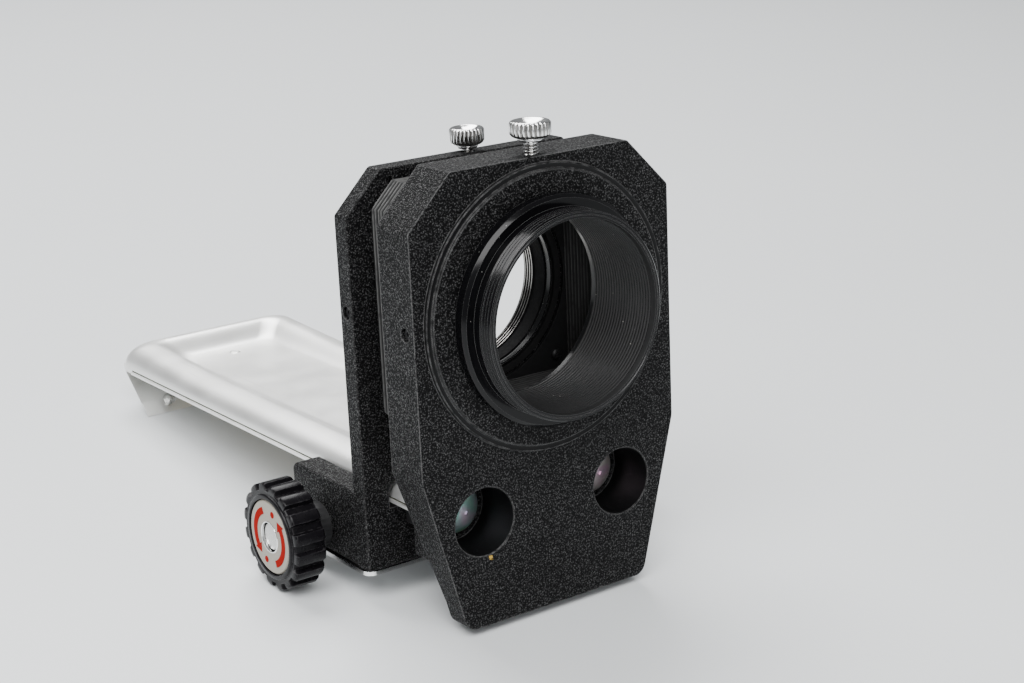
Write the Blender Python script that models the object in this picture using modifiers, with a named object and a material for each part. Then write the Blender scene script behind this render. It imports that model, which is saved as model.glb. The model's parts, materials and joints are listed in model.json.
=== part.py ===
"""Close-up bellows unit: two standards and a square bellows on an aluminium rail.

Metres, +Z up. The optical axis and the rail run along Y, with the lens end at -Y and the
camera end at +Y. The origin is under the middle of the object, at the height of the front
standard's foot. Run with: blender --background --python part.py
"""

import math

import bmesh
import bpy
from mathutils import Vector

# Overall places along Y and Z
LENS_REACH = 0.0122  # lens ring's rim, ahead of the front standard's face
RAIL_REACH = 0.1850  # rail's far end, behind the front standard's face
FRONT_Y = (LENS_REACH - RAIL_REACH) / 2  # front standard's face
AXIS_Z = 0.0761  # optical axis
GAP = 0.0003  # between touching pieces

# Front standard
FRONT_THICK = 0.01315
FRONT_HALF = 0.0380
FRONT_TOP = 0.1129
FRONT_SHOULDER = 0.1004
FRONT_HALF_TOP = 0.0258
FRONT_WAIST = 0.0405
FOOT_HALF = 0.0273
FOOT_THICK = 0.0067
FOOT_CORNER = 0.0035
EDGE_ROUND = 0.0011
BOSS_RADIUS = 0.0352
BOSS_RISE = 0.0016
BORE_RADIUS = 0.0272
RING_BORE = 0.0236
FLANGE_RADIUS = 0.0282
FLANGE_FRONT = 0.0059
FLANGE_SLOPE = 0.0008
SOCKET_X = 0.02094
SOCKET_Z = 0.02683
SOCKET_RADIUS = 0.00854
SOCKET_DEPTH = 0.0133
PAD_HALF = 0.0312
PAD_REACH = 0.0160

# Rear standard and its saddle
REAR_Y = FRONT_Y + 0.02764
REAR_THICK = 0.00535
REAR_HALF = 0.0376
REAR_TOP = 0.1101
REAR_SHOULDER = 0.09975
REAR_HALF_TOP = 0.02665
REAR_BORE = 0.0225
SADDLE_BOTTOM = 0.0097
SADDLE_TOP = 0.0296
SADDLE_LENGTH = 0.0359
SADDLE_CORNER = 0.0020
CHANNEL_HALF = 0.0256
LEDGE_Z = 0.0250
WEB_TOP = 0.0212  # front wall of the saddle, under the rack's path
WEB_THICK = 0.0020
PLATE_BOTTOM = 0.0083
TRIPOD_Y = REAR_Y + 0.0100
LINE_Y = 0.0038  # thumbscrew and grub screw, behind the front standard's face
REAR_LINE_Y = REAR_Y + REAR_THICK / 2

# Rail
RAIL_NEAR_Y = FRONT_Y + PAD_REACH + GAP
RAIL_FAR_Y = FRONT_Y + RAIL_REACH
RAIL_HALF = 0.02950
RAIL_SKIN = 0.0018
RAIL_SKIRT_Z = 0.0264
RAIL_SIDE_Z = 0.0276
RAIL_CREST_Z = 0.0329
RAIL_FLOOR_Z = 0.0299
CREST_LIFT = 0.0019  # extra height of the hump at the far end
LIFT_FROM_Y, LIFT_TO_Y = 0.0520, 0.0900
HUMP_HALF = 0.0077
RAIL_CORNER = 0.0055
TROUGH_CORNER = 0.0040
CORNER_STEPS = 5
LIP_HALF = 0.03006
LIP_Z = (0.0264, 0.0276)
LIP_END_Y = FRONT_Y + 0.1760
LEG_HALF = 0.0280
LEG_THICK = 0.0019
LEG_BOTTOM = (0.0141, 0.0135)  # ahead of the far end, and height
LEG_TOP = (0.0004, 0.0257)
LEG_LEAN = math.atan2(LEG_TOP[1] - LEG_BOTTOM[1], LEG_BOTTOM[0] - LEG_TOP[0])

# Drive: rack and pinion, shaft across the saddle
SHAFT_Y = FRONT_Y + 0.0501
SHAFT_Z = 0.01657
SHAFT_RADIUS = 0.0025
MODULE = 0.0010
PINION_TEETH = 12
PITCH_RADIUS = MODULE * PINION_TEETH / 2
PRESSURE_ANGLE = math.radians(20)
PINION_ADDENDUM = 0.0009
PINION_ROOT = 0.00115
RACK_ADDENDUM = 0.00065
RACK_ROOT = 0.00125
BACKLASH = 0.00030
RACK_HALF = 0.0040
RACK_TEETH = (-5, 37)  # first and last tooth space, counted from the pinion
KNOB_RADIUS = 0.0141
KNOB_INNER_X = 0.0438
KNOB_OUTER_X = 0.0530
KNOB_RIDGES = 16
DISC_RADIUS = 0.00965
COLLAR_RADIUS = 0.0060
BUSH_RADIUS = 0.0045

# Bellows and its frames
BELLOWS_HALF = 0.0315
BELLOWS_CHAMFER = 0.0060
BELLOWS_INNER = 0.0250
FRAME_HALF = 0.0306
FRAME_OPENING = 0.0252
FRAME_THICK = 0.0008
FRAME_SCREW_AT = 0.0218

# Thumbscrews: head radius, head bottom, head top, shank radius, shank tip
FRONT_THUMB = (0.0050, 0.1168, 0.1208, 0.0018, 0.1036)
REAR_THUMB = (0.00435, 0.11185, 0.11605, 0.0015, 0.0989)

PARTS = bpy.data.collections.new("bellows_unit")
CUTTERS = bpy.data.collections.new("cutters")

DRAWN = 1000  # curve units to a metre
MANY_CUTS = ("rack", "front_standard", "rear_standard")  # the EXACT solver leaves these open

TURNS = {
    "Z": (0, 0, 0),
    "-Z": (math.pi, 0, 0),
    "X": (0, math.pi / 2, 0),
    "-X": (0, -math.pi / 2, 0),
    "Y": (-math.pi / 2, 0, 0),
    "-Y": (math.pi / 2, 0, 0),
    "side": (math.pi / 2, 0, math.pi / 2),  # outline in Y and Z, thickness along X
    "leg": (LEG_LEAN, 0, 0),  # square to the rail's leg, towards its inner face
}


# ---------------------------------------------------------------- tools


def material(name, colour, roughness, metallic):
    """Principled BSDF with one colour."""
    mat = bpy.data.materials.new(name)
    mat.use_nodes = True
    shader = mat.node_tree.nodes["Principled BSDF"]
    shader.inputs["Base Color"].default_value = (*colour, 1)
    shader.inputs["Roughness"].default_value = roughness
    shader.inputs["Metallic"].default_value = metallic
    mat.diffuse_color = (*colour, 1)
    return mat


def new_object(name, mesh, location=(0, 0, 0), facing="Z"):
    obj = bpy.data.objects.new(name, mesh)
    obj.location = location
    obj.rotation_euler = TURNS[facing]
    PARTS.objects.link(obj)
    return obj


def finish(obj, mat, sharp=35):
    """Material, and smooth shading on curved surfaces."""
    obj.data.materials.append(mat)
    obj.data.shade_smooth()
    obj.data.set_sharp_from_angle(angle=math.radians(sharp))
    return obj


def turned(name, profile, location, facing, steps=32):
    """Profile of (radius, height), outer side from top to bottom, turned about local Z."""
    mesh = bpy.data.meshes.new(name)
    closed = profile[-1][0] > 0
    count = len(profile)
    edges = [(i, (i + 1) % count) for i in range(count if closed else count - 1)]
    mesh.from_pydata([(radius, 0, height) for radius, height in profile], edges, [])
    obj = new_object(name, mesh, location, facing)
    screw = obj.modifiers.new("turn", "SCREW")
    screw.steps = steps
    screw.render_steps = steps
    screw.merge_threshold = 0.00001
    screw.use_merge_vertices = True
    return obj


def outline(name, loops, thickness, location, facing):
    """Flat outline with holes, thick along local Z and centred on it, as a mesh.

    The curve is drawn in millimetres. Its fill's triangles are merged into whole flat faces,
    so that later cuts meet no slivers.
    """
    curve = bpy.data.curves.new(name, "CURVE")
    curve.dimensions = "2D"
    curve.fill_mode = "BOTH"
    curve.extrude = thickness * DRAWN / 2
    for loop in loops:
        spline = curve.splines.new("POLY")
        spline.points.add(len(loop) - 1)
        for point, (x, y) in zip(spline.points, loop):
            point.co = (x * DRAWN, y * DRAWN, 0, 1)
        spline.use_cyclic_u = True
    source = new_object(name, curve, location, facing)
    bpy.context.view_layer.update()
    evaluated = source.evaluated_get(bpy.context.evaluated_depsgraph_get())
    mesh = bpy.data.meshes.new_from_object(evaluated)
    bpy.data.objects.remove(source)
    weld = bmesh.new()
    weld.from_mesh(mesh)
    bmesh.ops.remove_doubles(weld, verts=weld.verts, dist=0.0001)
    bmesh.ops.dissolve_limit(weld, angle_limit=0.0005, verts=weld.verts, edges=weld.edges)
    bmesh.ops.recalc_face_normals(weld, faces=weld.faces)
    bmesh.ops.scale(weld, vec=(1 / DRAWN,) * 3, verts=weld.verts)
    weld.to_mesh(mesh)
    weld.free()
    return new_object(name, mesh, location, facing)


def box(name, low, high):
    """Box between two corners, with its scale applied."""
    mesh = bpy.data.meshes.new(name)
    cube = bmesh.new()
    bmesh.ops.create_cube(cube, size=1)
    size = Vector(high) - Vector(low)
    bmesh.ops.scale(cube, vec=size, verts=cube.verts)
    cube.to_mesh(mesh)
    cube.free()
    return new_object(name, mesh, (Vector(low) + Vector(high)) / 2)


def rod(name, radius, length, location, facing, steps=24):
    """Cylinder from its location onwards, along the way it faces."""
    mesh = bpy.data.meshes.new(name)
    cone = bmesh.new()
    bmesh.ops.create_cone(
        cone, cap_ends=True, segments=steps, radius1=radius, radius2=radius, depth=length
    )
    bmesh.ops.translate(cone, vec=(0, 0, length / 2), verts=cone.verts)
    cone.to_mesh(mesh)
    cone.free()
    return new_object(name, mesh, location, facing)


def bevel(obj, width, segments=2, angle=35):
    rounding = obj.modifiers.new("edges", "BEVEL")
    rounding.width = width
    rounding.segments = segments
    rounding.limit_method = "ANGLE"
    rounding.angle_limit = math.radians(angle)


def boolean(obj, tool, operation):
    """Boolean with a tool that moves to the cutters' collection."""
    joint = obj.modifiers.new(tool.name, "BOOLEAN")
    joint.operation = operation
    joint.solver = "MANIFOLD" if obj.name in MANY_CUTS else "EXACT"
    joint.object = tool
    if tool.name not in CUTTERS.objects:
        PARTS.objects.unlink(tool)
        CUTTERS.objects.link(tool)
        tool.name = "cutter_" + tool.name
        tool.hide_render = True
        tool.display_type = "WIRE"


def cut(obj, *tools):
    for tool in tools:
        boolean(obj, tool, "DIFFERENCE")


def join(obj, *tools):
    for tool in tools:
        boolean(obj, tool, "UNION")


def rounded(corners, steps=4):
    """Closed outline from corners of (x, y, radius)."""
    points = []
    count = len(corners)
    for index, (x, y, radius) in enumerate(corners):
        here = Vector((x, y))
        if radius == 0:
            points.append((x, y))
            continue
        before = (Vector(corners[index - 1][:2]) - here).normalized()
        after = (Vector(corners[(index + 1) % count][:2]) - here).normalized()
        half = before.angle(after) / 2
        centre = here + (before + after).normalized() * radius / math.sin(half)
        start = here + before * radius / math.tan(half) - centre
        end = here + after * radius / math.tan(half) - centre
        sweep = start.angle_signed(end)
        for step in range(steps + 1):
            turn = -sweep * step / steps
            x_turned = start.x * math.cos(turn) - start.y * math.sin(turn)
            y_turned = start.x * math.sin(turn) + start.y * math.cos(turn)
            points.append((centre.x + x_turned, centre.y + y_turned))
    return points


def mirrored(right_side):
    """Whole outline from its right-hand corners, listed upwards."""
    return list(right_side) + [(-x, *rest) for x, *rest in reversed(right_side)]


def octagon(half, chamfer, centre_z=0.0):
    """Square with cut corners."""
    right = [
        (half - chamfer, centre_z - half),
        (half, centre_z - half + chamfer),
        (half, centre_z + half - chamfer),
        (half - chamfer, centre_z + half),
    ]
    return mirrored(right)


def circle(radius, steps, centre=(0, 0)):
    angles = [2 * math.pi * step / steps for step in range(steps)]
    return [(centre[0] + radius * math.cos(a), centre[1] + radius * math.sin(a)) for a in angles]


def axis_empty(name, location):
    """Empty on a joint's axis, for the pieces that turn or slide with it."""
    empty = bpy.data.objects.new(name, None)
    empty.location = location
    empty.empty_display_size = 0.01
    PARTS.objects.link(empty)
    return empty


def carry(empty, *pieces):
    """Hang pieces on an empty and leave them where they are."""
    for piece in pieces:
        piece.parent = empty
        piece.location = Vector(piece.location) - Vector(empty.location)


# ---------------------------------------------------------------- front standard


def front_standard(crackle):
    corners = mirrored(
        [
            (FOOT_HALF, 0, FOOT_CORNER),
            (FRONT_HALF, FRONT_WAIST, 0.006),
            (FRONT_HALF, FRONT_SHOULDER, 0),
            (FRONT_HALF_TOP, FRONT_TOP, 0),
        ]
    )
    middle = (0, FRONT_Y + FRONT_THICK / 2, 0)
    plate = outline("front_standard", [rounded(corners, 3)], FRONT_THICK, middle, "-Y")
    bevel(plate, EDGE_ROUND)

    # The back leans forward below the waist, from full thickness to the thin foot.
    back = FRONT_Y + FRONT_THICK
    lean = [
        (back + 0.001, FRONT_WAIST - 0.0015),
        (back, FRONT_WAIST - 0.0015),
        (FRONT_Y + FOOT_THICK, 0.006),
        (FRONT_Y + FOOT_THICK, -0.002),
        (back + 0.001, -0.002),
    ]
    cut(plate, outline("back_lean", [lean], 0.09, (0, 0, 0), "side"))
    pad_back = FRONT_Y + PAD_REACH
    join(
        plate,
        box(
            "rail_pad",
            (-PAD_HALF, FRONT_Y + 0.004, 0.0165),
            (PAD_HALF, pad_back, FRONT_WAIST - 0.0020),
        ),
    )

    boss = [
        (0, BOSS_RISE),
        (BOSS_RADIUS - 0.0032, BOSS_RISE),
        (BOSS_RADIUS - 0.0026, BOSS_RISE - 0.0002),
        (BOSS_RADIUS - 0.0005, 0.0006),
        (BOSS_RADIUS, 0.0003),
        (BOSS_RADIUS, -0.002),
        (0, -0.002),
    ]
    face = (0, FRONT_Y, AXIS_Z)
    join(plate, turned("boss", boss, face, "-Y", 48))
    cut(plate, rod("bore", BORE_RADIUS, 0.04, (0, FRONT_Y - 0.01, AXIS_Z), "Y", 48))
    for side in (-1, 1):
        spot = (side * SOCKET_X, FRONT_Y - 0.001, SOCKET_Z)
        cut(plate, rod("socket", SOCKET_RADIUS, SOCKET_DEPTH + 0.001, spot, "Y", 32))
        cut(plate, rod("socket_screw_hole", 0.0023, 0.03, spot, "Y", 16))
    line = FRONT_Y + LINE_Y
    cut(plate, rod("thumb_hole", 0.0021, 0.02, (0, line, FRONT_TOP + 0.002), "-Z", 16))
    cut(plate, rod("grub_hole", 0.0017, 0.016, (-FRONT_HALF - 0.001, line, AXIS_Z), "X", 16))
    for x, z in frame_screw_places():
        spot = (x, FRONT_Y + FRONT_THICK + 0.001, z)
        cut(plate, rod("frame_hole", 0.0011, 0.006, spot, "-Y", 12))
    return finish(plate, crackle)


def lens_ring(gloss):
    """Flange and threaded tube ahead of the standard, ridged bore, spigot inside it."""
    front = LENS_REACH
    thread = [
        (0.0254 if step % 2 == 0 else 0.0251, front - 0.0006 - 0.0006 * step)
        for step in range(5)
    ]
    profile = [
        (RING_BORE, front),
        (0.0251, front),
        *thread,
        (0.0254, front - 0.0040),
        (0.0254, FLANGE_FRONT),
        (FLANGE_RADIUS - FLANGE_SLOPE, FLANGE_FRONT),
        (FLANGE_RADIUS, FLANGE_FRONT - FLANGE_SLOPE),
        (FLANGE_RADIUS, BOSS_RISE + GAP),
        (BORE_RADIUS - GAP, BOSS_RISE + GAP),
        (BORE_RADIUS - GAP, -0.0128),
        (RING_BORE, -0.0128),
    ]
    ring = turned("lens_ring", profile, (0, FRONT_Y, AXIS_Z), "-Y", 48)
    return finish(ring, gloss)


def socket_screw(name, side, zinc):
    """Pan head at the bottom of a socket, shank into the end block."""
    profile = [
        (0, 0.0023),
        (0.0050, 0.0021),
        (0.0064, 0.0014),
        (0.0066, GAP),
        (0.0020, GAP),
        (0.0020, -0.0100),
        (0, -0.0105),
    ]
    seat = (side * SOCKET_X, FRONT_Y + SOCKET_DEPTH, SOCKET_Z)
    screw = turned(name, profile, seat, "-Y", 20)
    slot = box(
        name + "_slot",
        (side * SOCKET_X - 0.008, FRONT_Y + SOCKET_DEPTH - 0.004, SOCKET_Z - 0.0005),
        (side * SOCKET_X + 0.008, FRONT_Y + SOCKET_DEPTH - 0.0013, SOCKET_Z + 0.0005),
    )
    cut(screw, slot)
    return finish(screw, zinc)


def side_grub(name, standard_half, line_y, steel):
    """Headless screw a little inside the standard's left side."""
    profile = [(0, -0.0009), (0.0014, -0.0009), (0.0014, -0.0058), (0, -0.0062)]
    grub = turned(name, profile, (-standard_half, line_y, AXIS_Z), "-X", 12)
    socket = rod(name + "_socket", 0.0007, 0.003, (-standard_half, line_y, AXIS_Z), "X", 6)
    cut(grub, socket)
    return finish(grub, steel)


# ---------------------------------------------------------------- thumbscrews


def thumb_shank(name, size, top, line_y, steel):
    """Threaded shank with the collar that carries the head."""
    head_radius, head_bottom, head_top, shank_radius, tip = size
    pitch = 0.0007
    thread = []
    height = head_bottom - 0.0012
    while height - pitch > top - 0.001:
        thread.append((shank_radius, height))
        thread.append((shank_radius - 0.0003, height - pitch / 2))
        height -= pitch
    profile = [
        (0, head_top - 0.0016),
        (shank_radius, head_top - 0.0016),
        (shank_radius, head_bottom - GAP),
        (head_radius * 0.62, head_bottom - GAP),
        (head_radius * 0.55, head_bottom - 0.0010),
        *thread,
        (shank_radius, height),
        (shank_radius, tip + 0.0005),
        (shank_radius - 0.0005, tip),
        (0, tip),
    ]
    shank = turned(name, profile, (0, line_y, 0), "Z", 14)
    return finish(shank, steel)


def thumb_head(name, size, line_y, steel):
    """Knurled head, dished on top, pressed over the shank."""
    head_radius, head_bottom, head_top, shank_radius, _ = size
    teeth = 20
    depth = head_radius * 0.09
    rim = []
    for step in range(teeth * 4):
        angle = 2 * math.pi * step / (teeth * 4)
        radius = head_radius - depth if step % 4 in (2, 3) else head_radius
        rim.append((radius * math.cos(angle), radius * math.sin(angle)))
    middle = (0, line_y, (head_bottom + head_top) / 2)
    head = outline(name, [rim], head_top - head_bottom, middle, "Z")
    bottom = (0, line_y, head_bottom - 0.001)
    socket_depth = head_top - 0.0013 - head_bottom + 0.001
    cut(head, rod(name + "_bore", shank_radius + GAP, socket_depth, bottom, "Z", 20))
    dish = [
        (0, 0.002),
        (head_radius * 0.78, 0.002),
        (head_radius * 0.66, -0.0006),
        (0, -0.0006),
    ]
    cut(head, turned(name + "_dish", dish, (0, line_y, head_top), "Z", 24))
    return finish(head, steel, 25)


# ---------------------------------------------------------------- bellows


def frame_screw_places():
    """Corners of the bellows frames where their screws sit."""
    corners = ((-1, -1), (1, -1), (1, 1), (-1, 1))
    return [(x * FRAME_SCREW_AT, AXIS_Z + z * FRAME_SCREW_AT) for x, z in corners]


def bellows_frame(name, near_y, tin):
    """Thin plate that holds one end of the bellows against a standard."""
    loops = [
        octagon(FRAME_HALF, BELLOWS_CHAMFER, AXIS_Z),
        circle(FRAME_OPENING, 40, (0, AXIS_Z)),
    ]
    loops += [circle(0.0011, 12, place) for place in frame_screw_places()]
    frame = outline(name, loops, FRAME_THICK, (0, near_y + FRAME_THICK / 2, 0), "-Y")
    return finish(frame, tin)


def frame_screw(name, place, face_y, facing, steel):
    """Small domed screw; its head stands on the frame and faces the way given."""
    profile = [
        (0, 0.0010),
        (0.0010, 0.0008),
        (0.0016, 0.0001),
        (0.0008, 0.0001),
        (0.0008, -0.0040),
        (0, -0.0040),
    ]
    screw = turned(name, profile, (place[0], face_y, place[1]), facing, 10)
    return finish(screw, steel)


def bellows(cloth):
    """Folded bellows as one thick square tube between the frames."""
    near = FRONT_Y + FRONT_THICK + GAP + FRAME_THICK + GAP
    far = REAR_Y - GAP - FRAME_THICK - GAP
    loops = [
        octagon(BELLOWS_HALF, BELLOWS_CHAMFER, AXIS_Z),
        octagon(BELLOWS_INNER, 0.0030, AXIS_Z),
    ]
    tube = outline("bellows", loops, far - near, (0, (near + far) / 2, 0), "-Y")
    return finish(tube, cloth)


# ---------------------------------------------------------------- rear standard


def rear_standard(crackle):
    """Upright plate and saddle in one casting, with a channel for the rail."""
    corners = mirrored(
        [
            (REAR_HALF, SADDLE_BOTTOM),
            (REAR_HALF, REAR_SHOULDER),
            (REAR_HALF_TOP, REAR_TOP),
        ]
    )
    middle = (0, REAR_Y + REAR_THICK / 2, 0)
    plate = outline("rear_standard", [corners], REAR_THICK, middle, "-Y")
    bevel(plate, EDGE_ROUND)
    far = REAR_Y + SADDLE_LENGTH
    side = [
        (REAR_Y + 0.0015, SADDLE_BOTTOM, 0),
        (far, SADDLE_BOTTOM, 0.0015),
        (far, SADDLE_TOP, SADDLE_CORNER),
        (REAR_Y + 0.0015, SADDLE_TOP, 0),
    ]
    saddle = outline("saddle", [rounded(side)], 2 * REAR_HALF - 0.0001, (0, 0, 0), "side")
    bevel(saddle, EDGE_ROUND, 2, 60)
    join(plate, saddle)

    ring = [(0, 0.0009), (0.0242, 0.0009), (0.0246, 0.0005), (0.0246, -0.001), (0, -0.001)]
    join(plate, turned("inner_ring", ring, (0, REAR_Y, AXIS_Z), "-Y", 48))
    cut(plate, rod("rear_bore", REAR_BORE, 0.03, (0, REAR_Y - 0.01, AXIS_Z), "Y", 48))

    # The rail's channel runs right through; the well for the drive stops short of the front wall.
    channel = mirrored(
        [
            (CHANNEL_HALF, WEB_TOP),
            (CHANNEL_HALF, LEDGE_Z),
            (LIP_HALF + 0.00045, LEDGE_Z),
            (LIP_HALF + 0.00045, 0.0292),
            (0.0293, 0.0310),
            (0.0265, 0.0327),
            (0.0220, RAIL_CREST_Z + 0.0005),
        ]
    )
    middle = (0, REAR_Y + SADDLE_LENGTH / 2, 0)
    cut(plate, outline("channel", [channel], SADDLE_LENGTH + 0.01, middle, "-Y"))
    well_low = (-CHANNEL_HALF, REAR_Y + WEB_THICK, SADDLE_BOTTOM - 0.002)
    cut(plate, box("well", well_low, (CHANNEL_HALF, far + 0.005, WEB_TOP + 0.001)))
    left = (-REAR_HALF - 0.002, SHAFT_Y, SHAFT_Z)
    cut(plate, rod("shaft_hole", BUSH_RADIUS + GAP, 2 * REAR_HALF + 0.004, left, "X", 24))
    top = (0, REAR_LINE_Y, REAR_TOP + 0.001)
    cut(plate, rod("rear_thumb_hole", 0.0018, 0.016, top, "-Z", 16))
    grub = (-REAR_HALF - 0.001, REAR_LINE_Y, AXIS_Z)
    cut(plate, rod("rear_grub_hole", 0.0017, 0.020, grub, "X", 16))
    for x, z in frame_screw_places():
        cut(plate, rod("rear_frame_hole", 0.0011, 0.005, (x, REAR_Y - 0.001, z), "Y", 12))
    for x in (-1, 1):
        spot = (x * 0.0247, REAR_Y - 0.001, 0.1070)
        cut(plate, rod("corner_hole", 0.0010, 0.003, spot, "Y", 12))
    for x, y in plate_screw_places():
        spot = (x, y, SADDLE_BOTTOM - 0.001)
        cut(plate, rod("plate_hole", 0.0016, 0.010, spot, "Z", 12))
    return finish(plate, crackle)


def camera_ring(gloss):
    """Ring with the camera's thread; its flange stands behind the rear standard."""
    pitch = 0.0020
    thread = []
    for step in range(5):
        height = 0.0004 + pitch * step
        thread.append((0.0205, height))
        thread.append((0.0209, height + pitch / 2))
    profile = [
        (0.0211, 0.0104),
        (0.0245, 0.0104),
        (0.0245, 0.0082),
        (0.0282, 0.0080),
        (0.0286, 0.0076),
        (0.0286, REAR_THICK + GAP),
        (REAR_BORE - GAP, REAR_THICK + GAP),
        (REAR_BORE - GAP, -0.0006),
        (0.0205, -0.0006),
        *thread,
    ]
    ring = turned("camera_ring", profile, (0, REAR_Y, AXIS_Z), "Y", 36)
    return finish(ring, gloss)


def plate_screw_places():
    """Corners of the bottom plate where its screws sit."""
    return [
        (x * 0.0312, REAR_Y + y)
        for x, y in ((-1, 0.0050), (1, 0.0050), (1, 0.0315), (-1, 0.0315))
    ]


def bottom_plate(bright):
    low = REAR_Y + 0.0003
    high = REAR_Y + SADDLE_LENGTH + 0.0002
    corners = [(x, y, 0.0025) for x, y in ((-1, low), (1, low), (1, high), (-1, high))]
    loop = rounded([(x * (REAR_HALF + 0.0002), y, r) for x, y, r in corners], 3)
    loops = [loop, circle(0.0058, 24, (0, TRIPOD_Y))]
    loops += [circle(0.0015, 12, place) for place in plate_screw_places()]
    thick = SADDLE_BOTTOM - GAP - PLATE_BOTTOM
    plate = outline("bottom_plate", loops, thick, (0, 0, PLATE_BOTTOM + thick / 2), "Z")
    return finish(plate, bright)


def plate_screw(name, place, steel):
    profile = [
        (0, 0.0013),
        (0.0018, 0.0011),
        (0.0026, 0.0004),
        (0.0026, GAP),
        (0.0012, GAP),
        (0.0012, -0.0080),
        (0, -0.0084),
    ]
    screw = turned(name, profile, (*place, PLATE_BOTTOM), "-Z", 12)
    return finish(screw, steel)


def tripod_bush(steel):
    """Threaded bush through the bottom plate, flange underneath."""
    profile = [
        (0.0032, 0.0015),
        (0.0072, 0.0015),
        (0.0075, 0.0012),
        (0.0075, GAP),
        (0.0055, GAP),
        (0.0055, -0.0048),
        (0.0032, -0.0048),
    ]
    bush = turned("tripod_bush", profile, (0, TRIPOD_Y, PLATE_BOTTOM), "-Z", 20)
    return finish(bush, steel)


def guide_pad(name, side, nylon):
    """Sliding strip between the saddle's ledge and the rail's lip."""
    inner, outer = CHANNEL_HALF + 0.0004, LIP_HALF
    low = (min(side * inner, side * outer), REAR_Y + 0.003, LEDGE_Z + GAP)
    high = (max(side * inner, side * outer), REAR_Y + 0.033, LEDGE_Z + 0.0011)
    return finish(box(name, low, high), nylon)


# ---------------------------------------------------------------- rail


def tray_edge(inset):
    """Plan outline of the tray, a U open at the lens end, moved inwards by inset."""
    share = inset / (2 * HUMP_HALF)
    corner = RAIL_CORNER + (TROUGH_CORNER - RAIL_CORNER) * share
    half = RAIL_HALF - inset
    end = RAIL_FAR_Y - inset
    points = [(-half, RAIL_NEAR_Y), (-half, LIFT_FROM_Y)]
    for side, start in ((-1, math.pi), (1, math.pi / 2)):
        for step in range(CORNER_STEPS + 1):
            angle = start - math.pi / 2 * step / CORNER_STEPS
            x = side * (half - corner) + corner * math.cos(angle)
            points.append((x, end - corner + corner * math.sin(angle)))
    points += [(half, LIFT_FROM_Y), (half, RAIL_NEAR_Y)]
    return points


def tray_section():
    """Inset, height and share of the hump across the tray's edge, from skirt to sunken top."""
    section = [(0, RAIL_SKIRT_Z, 0)]
    steps = 6
    for step in range(steps + 1):
        angle = math.pi / 2 * step / steps
        height = RAIL_SIDE_Z + (RAIL_CREST_Z - RAIL_SIDE_Z) * math.sin(angle)
        section.append((HUMP_HALF * (1 - math.cos(angle)), height, math.sin(angle)))
    for step in range(1, steps + 1):
        hump = (1 + math.cos(math.pi * step / steps)) / 2
        height = RAIL_FLOOR_Z + (RAIL_CREST_Z - RAIL_FLOOR_Z) * hump
        section.append((HUMP_HALF * (1 + step / steps), height, hump))
    return section


def crest_lift(y):
    """How much higher the hump stands towards the far end."""
    share = min(1, max(0, (y - LIFT_FROM_Y) / (LIFT_TO_Y - LIFT_FROM_Y)))
    return CREST_LIFT * share


def rail(aluminium):
    """Pressed tray with lips along its sides and a leg turned down at the far end."""
    shape = bmesh.new()
    rows = []
    for inset, height, hump in tray_section():
        edge = tray_edge(inset)
        rows.append([shape.verts.new((x, y, height + hump * crest_lift(y))) for x, y in edge])
    for outer, inner in zip(rows, rows[1:]):
        for index in range(len(outer) - 1):
            shape.faces.new(
                (outer[index], outer[index + 1], inner[index + 1], inner[index])
            )
    floor = shape.faces.new(rows[-1])
    bmesh.ops.recalc_face_normals(shape, faces=shape.faces)
    floor.normal_update()
    if floor.normal.z < 0:
        bmesh.ops.reverse_faces(shape, faces=shape.faces)
    mesh = bpy.data.meshes.new("rail")
    shape.to_mesh(mesh)
    shape.free()
    tray = new_object("rail", mesh)
    skin = tray.modifiers.new("skin", "SOLIDIFY")
    skin.thickness = RAIL_SKIN
    skin.offset = -1
    skin.use_even_offset = True

    for side in (-1, 1):
        edges = (side * (RAIL_HALF - 0.0010), side * LIP_HALF)
        low = (min(edges), RAIL_NEAR_Y + 0.0001, LIP_Z[0] - 0.0001)
        high = (max(edges), LIP_END_Y, LIP_Z[1])
        join(tray, box("lip", low, high))

    inward = Vector((-math.sin(LEG_LEAN), math.cos(LEG_LEAN))) * LEG_THICK
    outer_top = Vector((RAIL_FAR_Y - LEG_TOP[0], LEG_TOP[1]))
    outer_low = Vector((RAIL_FAR_Y - LEG_BOTTOM[0], LEG_BOTTOM[1]))
    side_view = [
        (RAIL_FAR_Y - 0.0001, RAIL_SIDE_Z + 0.0002, 0),
        (*outer_top, 0.002),
        (*outer_low, 0.0004),
        (*(outer_low + inward), 0.0004),
        (*(outer_top + inward), 0),
        (RAIL_FAR_Y - RAIL_SKIN + 0.0001, RAIL_SIDE_Z + 0.0002, 0),
    ]
    join(tray, outline("leg", [rounded(side_view, 3)], 2 * LEG_HALF, (0, 0, 0), "side"))

    for x, y in rivet_places() + block_screw_places():
        cut(tray, rod("floor_hole", 0.0018, 0.006, (x, y, RAIL_FLOOR_Z + 0.001), "-Z", 16))
    for side in (-1, 1):
        x, y, z = stop_screw_place(side)
        start = (x, y + 0.003 * math.sin(LEG_LEAN), z - 0.003 * math.cos(LEG_LEAN))
        cut(tray, rod("leg_hole", 0.0013, 0.008, start, "leg", 12))
    return finish(tray, aluminium)


def rivet_places():
    return [(0, FRONT_Y + 0.0360), (0, FRONT_Y + 0.1640)]


def block_screw_places():
    return [(-0.0085, FRONT_Y + 0.0215), (0.0085, FRONT_Y + 0.0215)]


def stop_screw_place(side):
    """Point on the leg's outer face, near its bottom edge, where a stop screw comes out."""
    up_leg = 0.0031
    y = RAIL_FAR_Y - LEG_BOTTOM[0] + up_leg * math.cos(LEG_LEAN)
    return (side * 0.0200, y, LEG_BOTTOM[1] + up_leg * math.sin(LEG_LEAN))


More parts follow.
